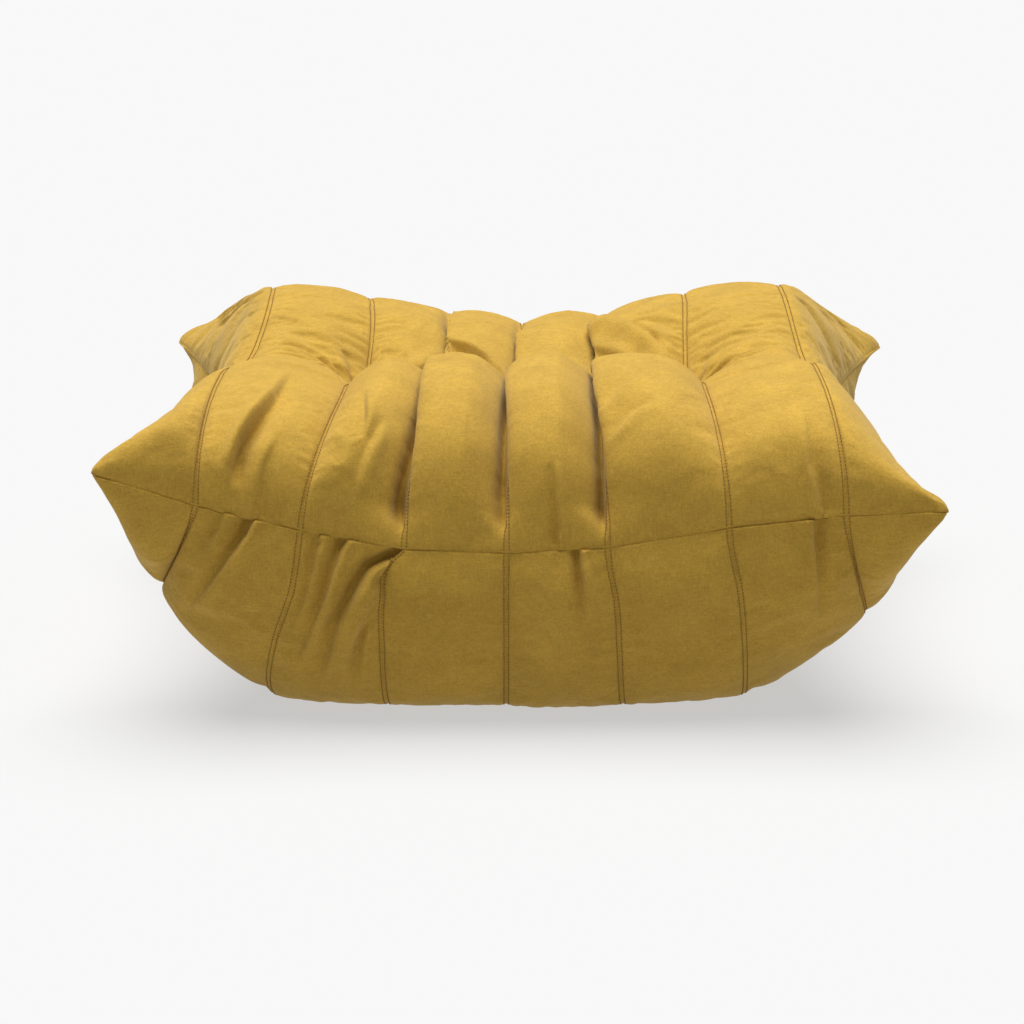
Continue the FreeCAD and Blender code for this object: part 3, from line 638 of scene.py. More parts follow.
def cloth_moves(name, w, v):
    """How far the cloth moves a panel's fine points."""
    share = (v - v[0]) / (v[-1] - v[0])
    broad = softened(moved[name])
    move = cubic(cubic(moved[name] - broad, w, 0), share, 1)
    broad = cubic(cubic(broad, w, 0), share, 1)
    strip, amount = 0, np.full(len(v), LOWER_WRINKLES)
    if name.startswith("upper"):
        strip, amount = int(name[-1]), np.interp(v, WRINKLE_STATIONS, UPPER_WRINKLES)
    calm = np.ones(len(w))
    if strip in ROLL_OVER:
        calm *= unit(w / 0.35) ** 2
    if strip + 1 in ROLL_OVER:
        calm *= unit((1 - w) / 0.35) ** 2
    move = move * calm[:, None, None]
    ends = unit(np.minimum(share, 1 - share) / 0.03)
    return (move * amount[None, :, None] + broad * SWELLING) * ends[None, :, None]


def needs_flip(name):
    """Whether a panel's own net faces inwards."""
    return name in ("lower_strip_1", "lower_strip_2") or name.startswith("lower_front")


def cubic(values, at, axis):
    """values, evenly spaced along axis, read at positions at (0 to 1) with a smooth curve."""
    values = np.moveaxis(values, axis, 0)
    place = unit(at) * (len(values) - 1)
    i = np.clip(place.astype(int), 0, len(values) - 2)
    f = (place - i).reshape((-1,) + (1,) * (values.ndim - 1))
    before, after = values[np.maximum(i - 1, 0)], values[np.minimum(i + 2, len(values) - 1)]
    a, b = values[i], values[i + 1]
    bend = 2 * before - 5 * a + 4 * b - after + f * (3 * (a - b) + after - before)
    curve = a + 0.5 * f * (b - before + f * bend)
    return np.moveaxis(curve, 0, axis)


# --- Small shapes of the cloth -------------------------------------------------------------------

# Places across a strip, from one seam to the other, closer together near the seams
EDGE_PLACES = (
    (0, 0.0075, 0.015, 0.023, 0.031, 0.039, 0.048, 0.062, 0.084)
    + (0.115, 0.155, 0.2, 0.25, 0.305, 0.365, 0.43)
)
PLACES = np.array(EDGE_PLACES + (0.5,) + tuple(1 - place for place in reversed(EDGE_PLACES)))
FOLD_PLACES = np.concatenate([PLACES[:9], np.arange(0.1, 0.901, 0.0174), PLACES[-9:]])
FINE_ROWS = 320
STRIP_WIDTH = 0.107
STATION_LENGTH = 0.46


def noise_line(seed, at, pitch):
    """Smooth noise along a line: at and pitch in metres."""
    place = at / pitch + 64
    knots = np.random.default_rng(seed).uniform(-1, 1, 512)
    i = np.floor(place).astype(int) % 511
    f = place - np.floor(place)
    f = eased(f)
    return knots[i] * (1 - f) + knots[i + 1] * f


def noise_net(seed, across, along, pitch):
    """Smooth noise over a net: places across and along in metres."""
    knots = np.random.default_rng(seed).uniform(-1, 1, (64, 128))
    x, y = across / pitch + 8, along / pitch + 64
    i, j = np.floor(x).astype(int) % 63, np.floor(y).astype(int) % 127
    f, g = x - np.floor(x), y - np.floor(y)
    f, g = eased(f), eased(g)
    low = knots[i, j] * (1 - f) + knots[i + 1, j] * f
    high = knots[i, j + 1] * (1 - f) + knots[i + 1, j + 1] * f
    return low * (1 - g) + high * g


# Creases and folds on the cover, by panel: the line each follows as (w, v) places, how deep (negative) or high
# it is and how wide, in millimetres. Those at the back and sides are invented to match the front. A crease's
# crisp side is its right, or its left if its width is negative.
FOLDS = {
    "upper_strip_6": (
        (((0.02, 0.52), (0.24, 0.38), (0.50, 0.25), (0.80, 0.12), (1.00, 0.04)), 15, 12),
        (((0.30, 0.42), (0.52, 0.32), (0.74, 0.21), (0.96, 0.11)), -5, 10),
        (((0.02, 0.30), (0.28, 0.16), (0.60, 0.05), (0.95, -0.04)), -9, 8),
        (((0.30, 0.02), (0.42, -0.14), (0.66, -0.28), (0.92, -0.36)), 8, 14),
        (((0.10, -0.70), (0.24, -0.62), (0.42, -0.55)), -5, 8),
        (((0.10, -0.80), (0.26, -0.73), (0.44, -0.68)), -4, 8),
        (((0.62, 0.995), (0.60, 0.92), (0.50, 0.80), (0.40, 0.70)), -10, -7),
    ),
    "upper_strip_4": (
        (((0.02, 0.34), (0.30, 0.24), (0.62, 0.12), (0.98, 0.02)), -11, 7),
        (((0.02, 0.24), (0.36, 0.12), (0.72, 0.00), (0.98, -0.06)), 10, 9),
        (((0.30, 0.02), (0.46, -0.12), (0.70, -0.22), (0.96, -0.28)), 6, 11),
    ),
    "upper_strip_3": (
        (((0.90, 0.30), (0.60, 0.10), (0.30, -0.02)), 6, 9),
        (((0.96, 0.18), (0.75, 0.02), (0.45, -0.12)), -6, 7),
        (((0.62, -0.72), (0.52, -0.86), (0.46, -0.97)), -5, 8),
        (((0.30, -0.60), (0.42, -0.72), (0.46, -0.80)), -5, 7),
        (((0.40, 0.995), (0.42, 0.90), (0.52, 0.78)), -9, 7),
    ),
    "upper_strip_5": (
        (((0.95, 0.22), (0.72, 0.02), (0.45, -0.14)), 7, 10),
        (((0.50, -0.985), (0.47, -0.94), (0.44, -0.87)), -6, 6),
    ),
    "upper_strip_2": (
        (
            ((0.35, -0.965), (0.34, -0.92), (0.39, -0.83), (0.47, -0.73), (0.54, -0.64), (0.60, -0.52)),
            -18,
            -8,
        ),
        (((0.60, -0.99), (0.62, -0.90), (0.70, -0.78)), -4, -8),
    ),
    "upper_strip_7": (
        (((0.80, -0.99), (0.74, -0.90), (0.76, -0.70)), -6, -7),
        (((0.35, 0.99), (0.38, 0.90), (0.44, 0.80)), -6, 7),
    ),
    "lower_strip_2": (
        (((0.56, -0.998), (0.55, -0.96), (0.48, -0.88), (0.36, -0.66)), -12, 6),
        (((0.28, -0.99), (0.28, -0.94), (0.22, -0.84)), -4, 7),
        (((0.40, 0.995), (0.42, 0.94), (0.48, 0.84)), -7, 6),
    ),
    "lower_strip_7": (
        (((0.26, -0.998), (0.34, -0.90), (0.44, -0.68)), -8, 6),
        (((0.50, 0.995), (0.50, 0.95), (0.44, 0.88), (0.38, 0.70)), -9, 6),
    ),
    "lower_front_strip_5": (
        (((0.71, -0.998), (0.71, -0.95), (0.71, -0.91), (0.68, -0.84)), -11, 5),
    ),
    "lower_front_strip_3": (
        (((0.99, -0.985), (0.84, -0.955), (0.70, -0.90), (0.54, -0.82), (0.46, -0.68)), -15, 7),
        (((0.96, -0.93), (0.84, -0.88), (0.72, -0.80), (0.66, -0.70)), 9, 7),
        (((0.86, -0.84), (0.80, -0.76), (0.78, -0.64)), -6, 5),
        (((0.44, -0.995), (0.44, -0.95), (0.34, -0.85), (0.22, -0.70)), -9, 7),
        (((0.20, -0.98), (0.18, -0.90), (0.10, -0.78)), -5, 6),
    ),
    "lower_rear_strip_3": (
        (((0.20, -0.995), (0.28, -0.94), (0.44, -0.86), (0.50, -0.74)), -9, 6),
        (((0.56, -0.99), (0.60, -0.92), (0.70, -0.82)), -5, 7),
    ),
    "lower_rear_strip_4": (
        (((0.34, -0.995), (0.36, -0.93), (0.40, -0.85)), -9, 5),
    ),
    "lower_rear_strip_6": (
        (((0.60, -0.995), (0.56, -0.92), (0.46, -0.84), (0.42, -0.72)), -10, -6),
    ),
    "lower_strip_8": (
        (((0.10, 0.30), (0.50, 0.26), (0.90, 0.20)), -5, 9),
        (((0.10, -0.16), (0.50, -0.12), (0.90, -0.10)), -5, 10),
    ),
    "lower_strip_1": (
        (((0.10, 0.22), (0.50, 0.20), (0.90, 0.14)), -5, 9),
        (((0.10, -0.28), (0.50, -0.24), (0.90, -0.18)), -5, 10),
    ),
    "upper_strip_1": (
        (((0.35, 0.74), (0.52, 0.72), (0.72, 0.70), (0.93, 0.68)), -6, 5),
        (((0.30, 0.66), (0.50, 0.64), (0.70, 0.62), (0.93, 0.61)), -7, 5),
        (((0.30, 0.58), (0.50, 0.56), (0.75, 0.55), (0.93, 0.54)), -6, 5),
    ),
    "upper_strip_8": (
        (((0.80, 0.70), (0.55, 0.67), (0.30, 0.64), (0.08, 0.60)), -6, 5),
        (((0.75, 0.62), (0.50, 0.60), (0.28, 0.57), (0.08, 0.54)), -6, 5),
    ),
}
# A fold that starts nearer the middle than this station eases in over this share of its length
FOLD_FREE_END = 0.97
FOLD_EASE = 0.25


def fine_places(name):
    """A panel's places for its visible net, closer together all the way across where it has folds."""
    return FOLD_PLACES if name in FOLDS else PLACES


def distance_to(line, across, along):
    """How far each place is from a line of (w, v) places, in metres, negative to its left, and how far along
    the line, 0 to 1."""
    line = np.array([(w * STRIP_WIDTH, v * STATION_LENGTH) for w, v in line])
    turned = -1 if line[-1, 1] < line[0, 1] else 1
    best = np.full(across.shape, 9.0)
    share = np.zeros(across.shape)
    side = np.ones(across.shape)
    total = len(line) - 1
    for i in range(total):
        a, b = line[i], line[i + 1]
        run = b - a
        f = unit(((across - a[0]) * run[0] + (along - a[1]) * run[1]) / (run @ run))
        gap = np.hypot(across - a[0] - f * run[0], along - a[1] - f * run[1])
        share = np.where(gap < best, (i + f) / total, share)
        right = np.sign((across - a[0]) * run[1] - (along - a[1]) * run[0]) * turned
        side = np.where(gap < best, right, side)
        best = np.minimum(best, gap)
    return best * side, share


def tuft_gathers(name, across, along):
    """The folds that fan out over a strip from the tufts at its seams."""
    strip = int(name[-1])
    height = np.zeros(across.shape)
    for seam, gap in ((strip - 1, across), (strip, STRIP_WIDTH - across)):
        if seam not in TUFTED_SEAMS:
            continue
        reach = np.hypot(gap, along)
        angle = np.arctan2(along, gap)
        rng = np.random.default_rng(600 + 10 * strip + seam)
        folds = 0
        for turn in np.arange(-1.35, 1.4, 0.45):
            aim = turn + rng.uniform(-0.12, 0.12)
            size = rng.uniform(0.5, 1.0)
            width = rng.uniform(0.09, 0.14)
            folds = folds - size * np.exp(-(((angle - aim) / width) ** 2))
        fade = unit(reach / 0.012) * np.exp(-((reach / GATHER_REACH) ** 2))
        height += GATHER_DEPTH * folds * fade
    return height


GATHER_DEPTH = 0.010
GATHER_REACH = 0.085


def rounded_tips(net):
    """The net with its four corners blunted, as turned and filled cloth corners are."""
    for (side, end), corner in CORNERS.items():
        tip = np.array(corner)
        aim = np.array([-side * 0.72, -end * 0.55, -0.28])
        aim /= np.linalg.norm(aim)
        away = np.linalg.norm(net - tip, axis=-1)
        reach = np.maximum((net - tip) @ aim, 0)
        blunt = np.hypot(reach, TIP_RADIUS) - reach - TIP_REACH * np.exp(-((reach / 0.045) ** 2))
        net = net + aim * (blunt * np.exp(-((away / 0.07) ** 4)))[..., None]
    return net


TIP_RADIUS = 0.018
TIP_REACH = 0.015


def seam_pull(name, net):
    """The cover's seams drawn in: a narrow groove along each panel's edges, aimed at the cushion's middle."""
    middle_x = np.clip(net[..., 0], -PULL_HALF_WIDTH, PULL_HALF_WIDTH)
    middle = np.stack([middle_x, 0.5 * net[..., 1], np.full(net.shape[:2], PULL_HEIGHT)], -1)
    aim = middle - net
    aim /= np.linalg.norm(aim, axis=-1, keepdims=True)
    depth = np.zeros(net.shape[:2])
    for line, edge in ((0, 0), (-1, 1)):
        rise = np.linalg.norm(net - net[line][None], axis=-1)
        at_side = (name, edge) in SIDE_EDGES
        pull, reach = (EDGE_PULL, EDGE_PULL_REACH) if at_side else (SEAM_PULL, SEAM_PULL_REACH)
        depth = np.maximum(depth, pull * np.exp(-((rise / reach) ** 2)))
    for line in (0,) if is_face(name) else (0, -1):
        rise = np.linalg.norm(net - net[:, line][:, None], axis=-1)
        depth = np.maximum(depth, EDGE_PULL * np.exp(-((rise / EDGE_PULL_REACH) ** 2)))
    return aim * depth[..., None]


# The panels' edges, as w places, that lie on the perimeter seam down the sides
SIDE_EDGES = (("upper_strip_1", 0), ("upper_strip_8", 1), ("lower_strip_1", 0), ("lower_strip_8", 0))
EDGE_PULL = 0.0019
EDGE_PULL_REACH = 0.0012
SEAM_PULL = 0.0011
SEAM_PULL_REACH = 0.0012
# The line through the cushion's middle that the seams are drawn towards
PULL_HALF_WIDTH = 0.33
PULL_HEIGHT = 0.14
# Extra stations next to the perimeter seam, in metres from it
EDGE_STATIONS = (0.0007, 0.0015, 0.0026, 0.004)


def fine_stations(name):
    """A panel's stations for its visible net, closer together next to the perimeter seam."""
    v = stations(name, FINE_ROWS)
    near = np.array(EDGE_STATIONS) / STATION_LENGTH
    v = np.concatenate([v, near - 1] + ([] if is_face(name) else [1 - near]))
    v = np.sort(v)
    return v[np.concatenate([[True], np.diff(v) > 1e-4])]


def small_shapes(name, number, net, w, v):
    """How far each fine point stands off its panel: folds, gathers, unevenness and the stitches' dips."""
    across = (w * STRIP_WIDTH)[:, None] + np.zeros(len(v))[None]
    along = np.zeros(len(w))[:, None] + (v * STATION_LENGTH)[None]
    gap = np.minimum(*(np.linalg.norm(net - net[line][None], axis=-1) for line in (0, -1)))
    height = 1.5 * MM * noise_net(100 + number, across, along, 0.060)
    height += 0.5 * MM * noise_net(200 + number, across, along * 0.7, 0.022)
    height *= unit(gap / 0.012)
    left = noise_line(300 + number, along, 0.0075) * np.exp(-(((across - 0.010) / 0.007) ** 2))
    right = noise_line(400 + number, along, 0.0075) * np.exp(-(((STRIP_WIDTH - across - 0.010) / 0.007) ** 2))
    height += 0.45 * MM * (left + right)
    for edge, sign in ((-1, 1), (1, -1)):
        if is_face(name) and edge == 1:
            continue
        to_edge = np.abs(v - edge)[None] * STATION_LENGTH
        gathers = noise_line(500 + number, across, 0.011) * np.exp(-to_edge / 0.016)
        height += 1.4 * MM * gathers * unit(to_edge / 0.004) * unit(gap / 0.008)
    height -= STITCH_DIP * MM * np.exp(-(((gap - STITCH_OFFSET) / 0.0010) ** 2))
    if name.startswith("upper"):
        height += tuft_gathers(name, across, along)
    for line, depth, width in FOLDS.get(name, ()):
        away, share = distance_to(line, across, along)
        taper = unit((1 - share) / 0.45) ** 0.7
        if abs(line[0][1]) < FOLD_FREE_END:
            taper = taper * unit(share / FOLD_EASE)
        away = away * np.sign(width)
        size = abs(width) * MM
        crisp = 0.4 if depth < 0 else 0.9
        height += depth * MM * taper * np.exp(-((away / (size * np.where(away < 0, 1.5, crisp))) ** 2))
        if depth < 0:
            height -= 0.45 * depth * MM * taper * np.exp(-(((away - size) / (0.9 * size)) ** 2))
    edge = np.minimum(gap, np.minimum(1 - v, 1 + v)[None] * STATION_LENGTH)
    return height * unit(edge / 0.0012)


STITCH_DIP = 0.7
STITCH_OFFSET = 0.0027
STITCH_PITCH = 0.0038
STITCH_LENGTH = 0.0024
STITCH_RADIUS = 0.00062
STITCH_STAND = 0.3 * MM
# How far each way the line is read to find a stitch's direction
STITCH_LOOK = 0.002
FACE_STITCH_ROWS = 100
PANEL_THICKNESS = 0.003


def paint(piece, material):
    """Gives a piece one material and no other."""
    piece.data.materials.clear()
    piece.data.materials.append(material)


def finish_piece(piece, material, body="root", nodes=()):
    """Gives a piece its material and its body, and hides the CAD nodes it stands for."""
    paint(piece, material)
    piece.data.polygons.foreach_set("use_smooth", np.ones(len(piece.data.polygons), bool))
    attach(piece, body)
    if nodes:
        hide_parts(*nodes)
    return piece


def closed_panel(name, net, flip):
    """A closed shell: the net, the same net a cloth's thickness further in, and the walls between them."""
    columns, rows = net.shape[:2]
    normal = normals_of(net) * (-1 if flip else 1)
    to_tip = np.min([np.linalg.norm(net - np.array(tip), axis=-1) for tip in CORNERS.values()], axis=0)
    inner = net - normal * (PANEL_THICKNESS * np.clip(to_tip / 0.04, 0.1, 1))[..., None]
    inner[..., 2] = np.maximum(inner[..., 2], FLOOR_GAP)
    points = np.concatenate([net.reshape(-1, 3), inner.reshape(-1, 3)])
    quads, ring = shell_quads(columns, rows)
    if flip:
        quads = quads[:, ::-1]
    piece = net_mesh(name, points, quads)
    # The shell's edge is sharp all round, on its outer net
    place = np.full(2 * columns * rows, -9)
    place[ring] = np.arange(len(ring))
    ends = np.zeros(2 * len(piece.data.edges), int)
    piece.data.edges.foreach_get("vertices", ends)
    places = place[ends.reshape(-1, 2)]
    steps = np.abs(np.diff(places, axis=1)[:, 0])
    both = (places >= 0).all(axis=1)
    sharp = piece.data.attributes.new("sharp_edge", "BOOLEAN", "EDGE")
    sharp.data.foreach_set("value", both & ((steps == 1) | (steps == len(ring) - 1)))
    return piece


# --- Materials ---------------------------------------------------------------------------------


class Nodes:
    """A material's node tree, built a line at a time."""

    def __init__(self, name):
        self.material = bpy.data.materials.new(name)
        self.material.use_nodes = True
        self.tree = self.material.node_tree
        self.tree.nodes.clear()
        self.shader = self.add("ShaderNodeBsdfPrincipled")
        output = self.add("ShaderNodeOutputMaterial")
        self.link(self.shader, "BSDF", output, "Surface")

    def add(self, kind, **values):
        node = self.tree.nodes.new(kind)
        for key, value in values.items():
            setattr(node, key, value)
        return node

    def link(self, source, source_name, target, target_name):
        """Joins an output to an input, each by its name or number."""
        self.tree.links.new(source.outputs[source_name], target.inputs[target_name])

    def place(self, scale=(1, 1, 1), turn=(0, 0, 0)):
        """Object coordinates in metres, scaled."""
        where = self.add("ShaderNodeTexCoord")
        mapping = self.add("ShaderNodeMapping")
        mapping.inputs["Scale"].default_value = scale
        mapping.inputs["Rotation"].default_value = turn
        self.link(where, "Object", mapping, "Vector")
        return mapping

    def noise(self, scale, detail=2.0, roughness=0.5, stretch=(1, 1, 1)):
        node = self.add("ShaderNodeTexNoise")
        node.inputs["Scale"].default_value = scale
        node.inputs["Detail"].default_value = detail
        node.inputs["Roughness"].default_value = roughness
        self.link(self.place(stretch), "Vector", node, "Vector")
        return node

    def ramp(self, source, source_name, stops):
        """Two colours, as (position, colour) stops, read along a value."""
        node = self.add("ShaderNodeValToRGB")
        for i, (position, colour) in enumerate(stops):
            node.color_ramp.elements[i].position = position
            node.color_ramp.elements[i].color = colour
        self.link(source, source_name, node, "Fac")
        return node

    def mix(self, first, second, factor, kind="MIX"):
        """Mixes two (node, output) colours by a (node, output) or a number."""
        node = self.add("ShaderNodeMix", data_type="RGBA", blend_type=kind)
        for (source, name), target in ((first, 6), (second, 7)):
            self.link(source, name, node, target)
        if isinstance(factor, (int, float)):
            node.inputs[0].default_value = factor
        else:
            self.link(*factor, node, 0)
        return node

    def bump(self, source, source_name, strength, distance, under=None):
        node = self.add("ShaderNodeBump")
        node.inputs["Strength"].default_value = strength
        node.inputs["Distance"].default_value = distance
        self.link(source, source_name, node, "Height")
        if under is not None:
            self.link(under, "Normal", node, "Normal")
        self.link(node, "Normal", self.shader, "Normal")
        return node

    def set(self, **values):
        for key, value in values.items():
            self.shader.inputs[key.replace("_", " ")].default_value = value
        return self


def tint(red, green, blue, factor=1.0):
    return (red * factor, green * factor, blue * factor, 1)


SUEDE = (0.43, 0.262, 0.038)


def suede():
    """A short, dense nap: cloudy where it was brushed, with a fine grain and a warm sheen."""
    made = Nodes("mustard_suede")
    clouds = made.noise(24, 4, 0.62)
    grain = made.noise(420, 4, 0.75)
    upright = made.noise(1, 2, 0.5, (640, 640, 90))
    level = made.noise(1, 2, 0.5, (110, 110, 700))
    base = made.ramp(clouds, "Fac", [(0.30, tint(*SUEDE, 0.91)), (0.70, tint(*SUEDE, 1.09))])
    fine = made.ramp(grain, "Fac", [(0.32, tint(0.66, 0.65, 0.58)), (0.68, tint(1.18, 1.18, 1.18))])
    streaks = made.mix((upright, "Fac"), (level, "Fac"), 0.5)
    threads = made.ramp(streaks, 2, [(0.38, tint(0.80, 0.79, 0.75)), (0.62, tint(1.10, 1.10, 1.10))])
    woven = made.mix((fine, "Color"), (threads, "Color"), 0.5)
    both = made.mix((base, "Color"), (woven, 2), 1.0, "MULTIPLY")
    made.link(both, 2, made.shader, "Base Color")
    made.set(Roughness=0.92, Specular_IOR_Level=0.2)
    made.set(Sheen_Weight=0.18, Sheen_Roughness=0.45, Sheen_Tint=(1.0, 0.86, 0.55, 1))
    nap = made.noise(420, 3, 0.6)
    soft = made.bump(nap, "Fac", 0.25, 0.0006)
    made.bump(grain, "Fac", 0.30, 0.0003, soft)
    return made.material


def plain_cloth(name, colour, weave=1400, contrast=0.75, roughness=0.9):
    """Woven cloth: two crossed sets of threads."""
    made = Nodes(name)
    warp = made.add("ShaderNodeTexWave", wave_type="BANDS", bands_direction="X")
    weft = made.add("ShaderNodeTexWave", wave_type="BANDS", bands_direction="Y")
    for wave in (warp, weft):
        wave.inputs["Scale"].default_value = weave / 6.283
        wave.inputs["Distortion"].default_value = 0.6
        made.link(made.place(), "Vector", wave, "Vector")
    crossed = made.mix((warp, "Color"), (weft, "Color"), 0.5, "MULTIPLY")
    clouds = made.noise(30, 2)
    shade = made.ramp(clouds, "Fac", [(0.3, tint(*colour, contrast)), (0.7, tint(*colour))])
    threads = made.mix((shade, "Color"), (crossed, 2), 0.25, "MULTIPLY")
    made.link(threads, 2, made.shader, "Base Color")
    made.set(Roughness=roughness, Sheen_Weight=0.2, Specular_IOR_Level=0.25)
    made.bump(crossed, 2, 0.4, 0.0004)
    return made.material


def grainy(name, colour, size, contrast, roughness, metallic=0.0, bump=0.3, depth=0.0008, sheen=0.0):
    """A material with cloudy colour and a fine relief, such as foam, felt, fibre or metal."""
    made = Nodes(name)
    clouds = made.noise(size, 4, 0.6)
    base = made.ramp(clouds, "Fac", [(0.3, tint(*colour, contrast)), (0.7, tint(*colour))])
    made.link(base, "Color", made.shader, "Base Color")
    made.set(Roughness=roughness, Metallic=metallic, Sheen_Weight=sheen)
    made.bump(clouds, "Fac", bump, depth)
    return made.material


SUEDE_CLOTH = suede()
THREAD = grainy("mustard_thread", (0.27, 0.148, 0.020), 900, 0.8, 0.85)
BASE_CLOTH = plain_cloth("dark_base_cloth", (0.035, 0.033, 0.032))
TAPE_CLOTH = plain_cloth("zip_tape", (0.30, 0.19, 0.05), 2200)
COIL_PLASTIC = grainy("zip_coil", (0.33, 0.21, 0.06), 600, 0.85, 0.35, bump=0.1, depth=0.0001)
ZIP_METAL = grainy("zip_metal", (0.42, 0.38, 0.30), 500, 0.8, 0.34, metallic=1.0, bump=0.15, depth=0.0001)
FOAM = grainy("cream_foam", (0.78, 0.70, 0.50), 420, 0.8, 0.95, bump=0.8, depth=0.0015)
FIBRE = grainy("white_fibre", (0.82, 0.82, 0.80), 160, 0.85, 0.95, bump=0.8, depth=0.003, sheen=0.4)
FELT = grainy("grey_felt", (0.20, 0.20, 0.20), 700, 0.7, 0.95, bump=0.6, depth=0.0008, sheen=0.3)
TWINE = grainy("cotton_twine", (0.66, 0.60, 0.46), 900, 0.7, 0.85, bump=0.6, depth=0.0006)
LOOP_TAPE = plain_cloth("loop_tape", (0.55, 0.50, 0.40), 2200)


# --- The cover's pieces --------------------------------------------------------------------------

# The cover's lowest points stand just clear of the floor's own face
FLOOR_GAP = 0.0012
moved = inflate()
fine_nets = {}
for number, (name, shape) in enumerate(panels().items()):
    w, v = fine_places(name), fine_stations(name)
    net = shape(w, v)
    if name in moved:
        net = net + cloth_moves(name, w, v)
    net = rounded_tips(net)
    normal = normals_of(net) * (-1 if needs_flip(name) else 1)
    net = net + normal * small_shapes(name, number, net, w, v)[..., None] + seam_pull(name, net)
    net[..., 2] = np.maximum(net[..., 2], FLOOR_GAP)
    fine_nets[name] = net
    panel = closed_panel(f"cover_{name}", net, needs_flip(name))
    finish_piece(panel, SUEDE_CLOTH, nodes=[name])


def capsules(name, centres, along, up, length, radius):
    """Small rounded rods, one at each centre, lying along one direction."""
    sides, rings = 6, ((-0.5, 0.35), (-0.36, 0.95), (0.36, 0.95), (0.5, 0.35))
    angle = np.arange(sides) * 2 * np.pi / sides
    across = np.cross(along, up)
    across /= np.linalg.norm(across, axis=1, keepdims=True)
    up = np.cross(across, along)
    points = []
    for place, size in rings:
        for a in angle:
            points.append(
                centres + along * place * length + (across * np.cos(a) + up * np.sin(a)) * radius * size
            )
    points = np.stack(points, 1)
    count = len(rings) * sides
    ends = [tuple(range(sides - 1, -1, -1)), tuple(range(count - sides, count))]
    rod = ring_quads(len(rings), sides) + ends
    faces = []
    for i in range(len(centres)):
        faces += [tuple(i * count + j for j in face) for face in rod]
    return add_mesh(name, points.reshape(-1, 3).tolist(), faces)


def stitch_run(net, edge, flip):
    """Places, directions and normals of the stitches along a panel's edge, 0 its left or -1 its right."""
    normal = normals_of(net) * (-1 if flip else 1)
    near = slice(0, 12) if edge == 0 else slice(-1, -13, -1)
    band, band_normal = net[near], normal[near]
    away = np.linalg.norm(band - band[:1], axis=-1)
    after = np.clip(np.argmax(away > STITCH_OFFSET, axis=0), 1, len(band) - 1)
    row = np.arange(net.shape[1])
    span = np.maximum(away[after, row] - away[after - 1, row], 1e-9)
    f = unit((STITCH_OFFSET - away[after - 1, row]) / span)[:, None]
    line = band[after - 1, row] * (1 - f) + band[after, row] * f
    normal = band_normal[after - 1, row] * (1 - f) + band_normal[after, row] * f
    steps = np.linalg.norm(np.diff(line, axis=0), axis=1)
    reach = np.concatenate([[0], np.cumsum(steps)])
    at = np.arange(STITCH_PITCH, reach[-1] - STITCH_PITCH, STITCH_PITCH)

    def read(values, places):
        return np.stack([np.interp(places, reach, values[:, axis]) for axis in range(3)], -1)

    along = read(line, at + STITCH_LOOK) - read(line, at - STITCH_LOOK)
    along /= np.linalg.norm(along, axis=1, keepdims=True)
    up = read(normal, at)
    up /= np.linalg.norm(up, axis=1, keepdims=True)
    return read(line, at) + up * STITCH_STAND, along, up


def stitch_piece(name, runs):
    centres, along, up = (np.concatenate(parts) for parts in zip(*runs))
    piece = capsules(name, centres, along, up, STITCH_LENGTH, STITCH_RADIUS)
    return finish_piece(piece, THREAD)


for k in range(1, 8):
    left, right = fine_nets[f"upper_strip_{k}"], fine_nets[f"upper_strip_{k + 1}"]
    stitch_piece(f"topstitching_upper_seam_{k}", [stitch_run(left, -1, False), stitch_run(right, 0, False)])
for side, ends in (("front", slice(0, FACE_STITCH_ROWS)), ("rear", slice(-1, -FACE_STITCH_ROWS - 1, -1))):
    for k in range(2, 7):
        flip = side == "front"
        runs = []
        if k > 2:
            runs.append(stitch_run(fine_nets[f"lower_{side}_strip_{k}"][:, :FACE_STITCH_ROWS], -1, flip))
        else:
            runs.append(stitch_run(fine_nets["lower_strip_2"][:, ends], -1, flip))
        if k < 6:
            runs.append(stitch_run(fine_nets[f"lower_{side}_strip_{k + 1}"][:, :FACE_STITCH_ROWS], 0, flip))
        else:
            runs.append(stitch_run(fine_nets["lower_strip_7"][:, ends], -1, not flip))
        stitch_piece(f"topstitching_{side}_seam_{k}", runs)
for side, outer, inner, flip in (("left", 1, 2, True), ("right", 8, 7, False)):
    outer_run = stitch_run(fine_nets[f"lower_strip_{outer}"], -1, flip)
    inner_run = stitch_run(fine_nets[f"lower_strip_{inner}"], 0, flip)
    stitch_piece(f"topstitching_{side}_flank_seam", [outer_run, inner_run])

# --- Inside the cover ----------------------------------------------------------------------------


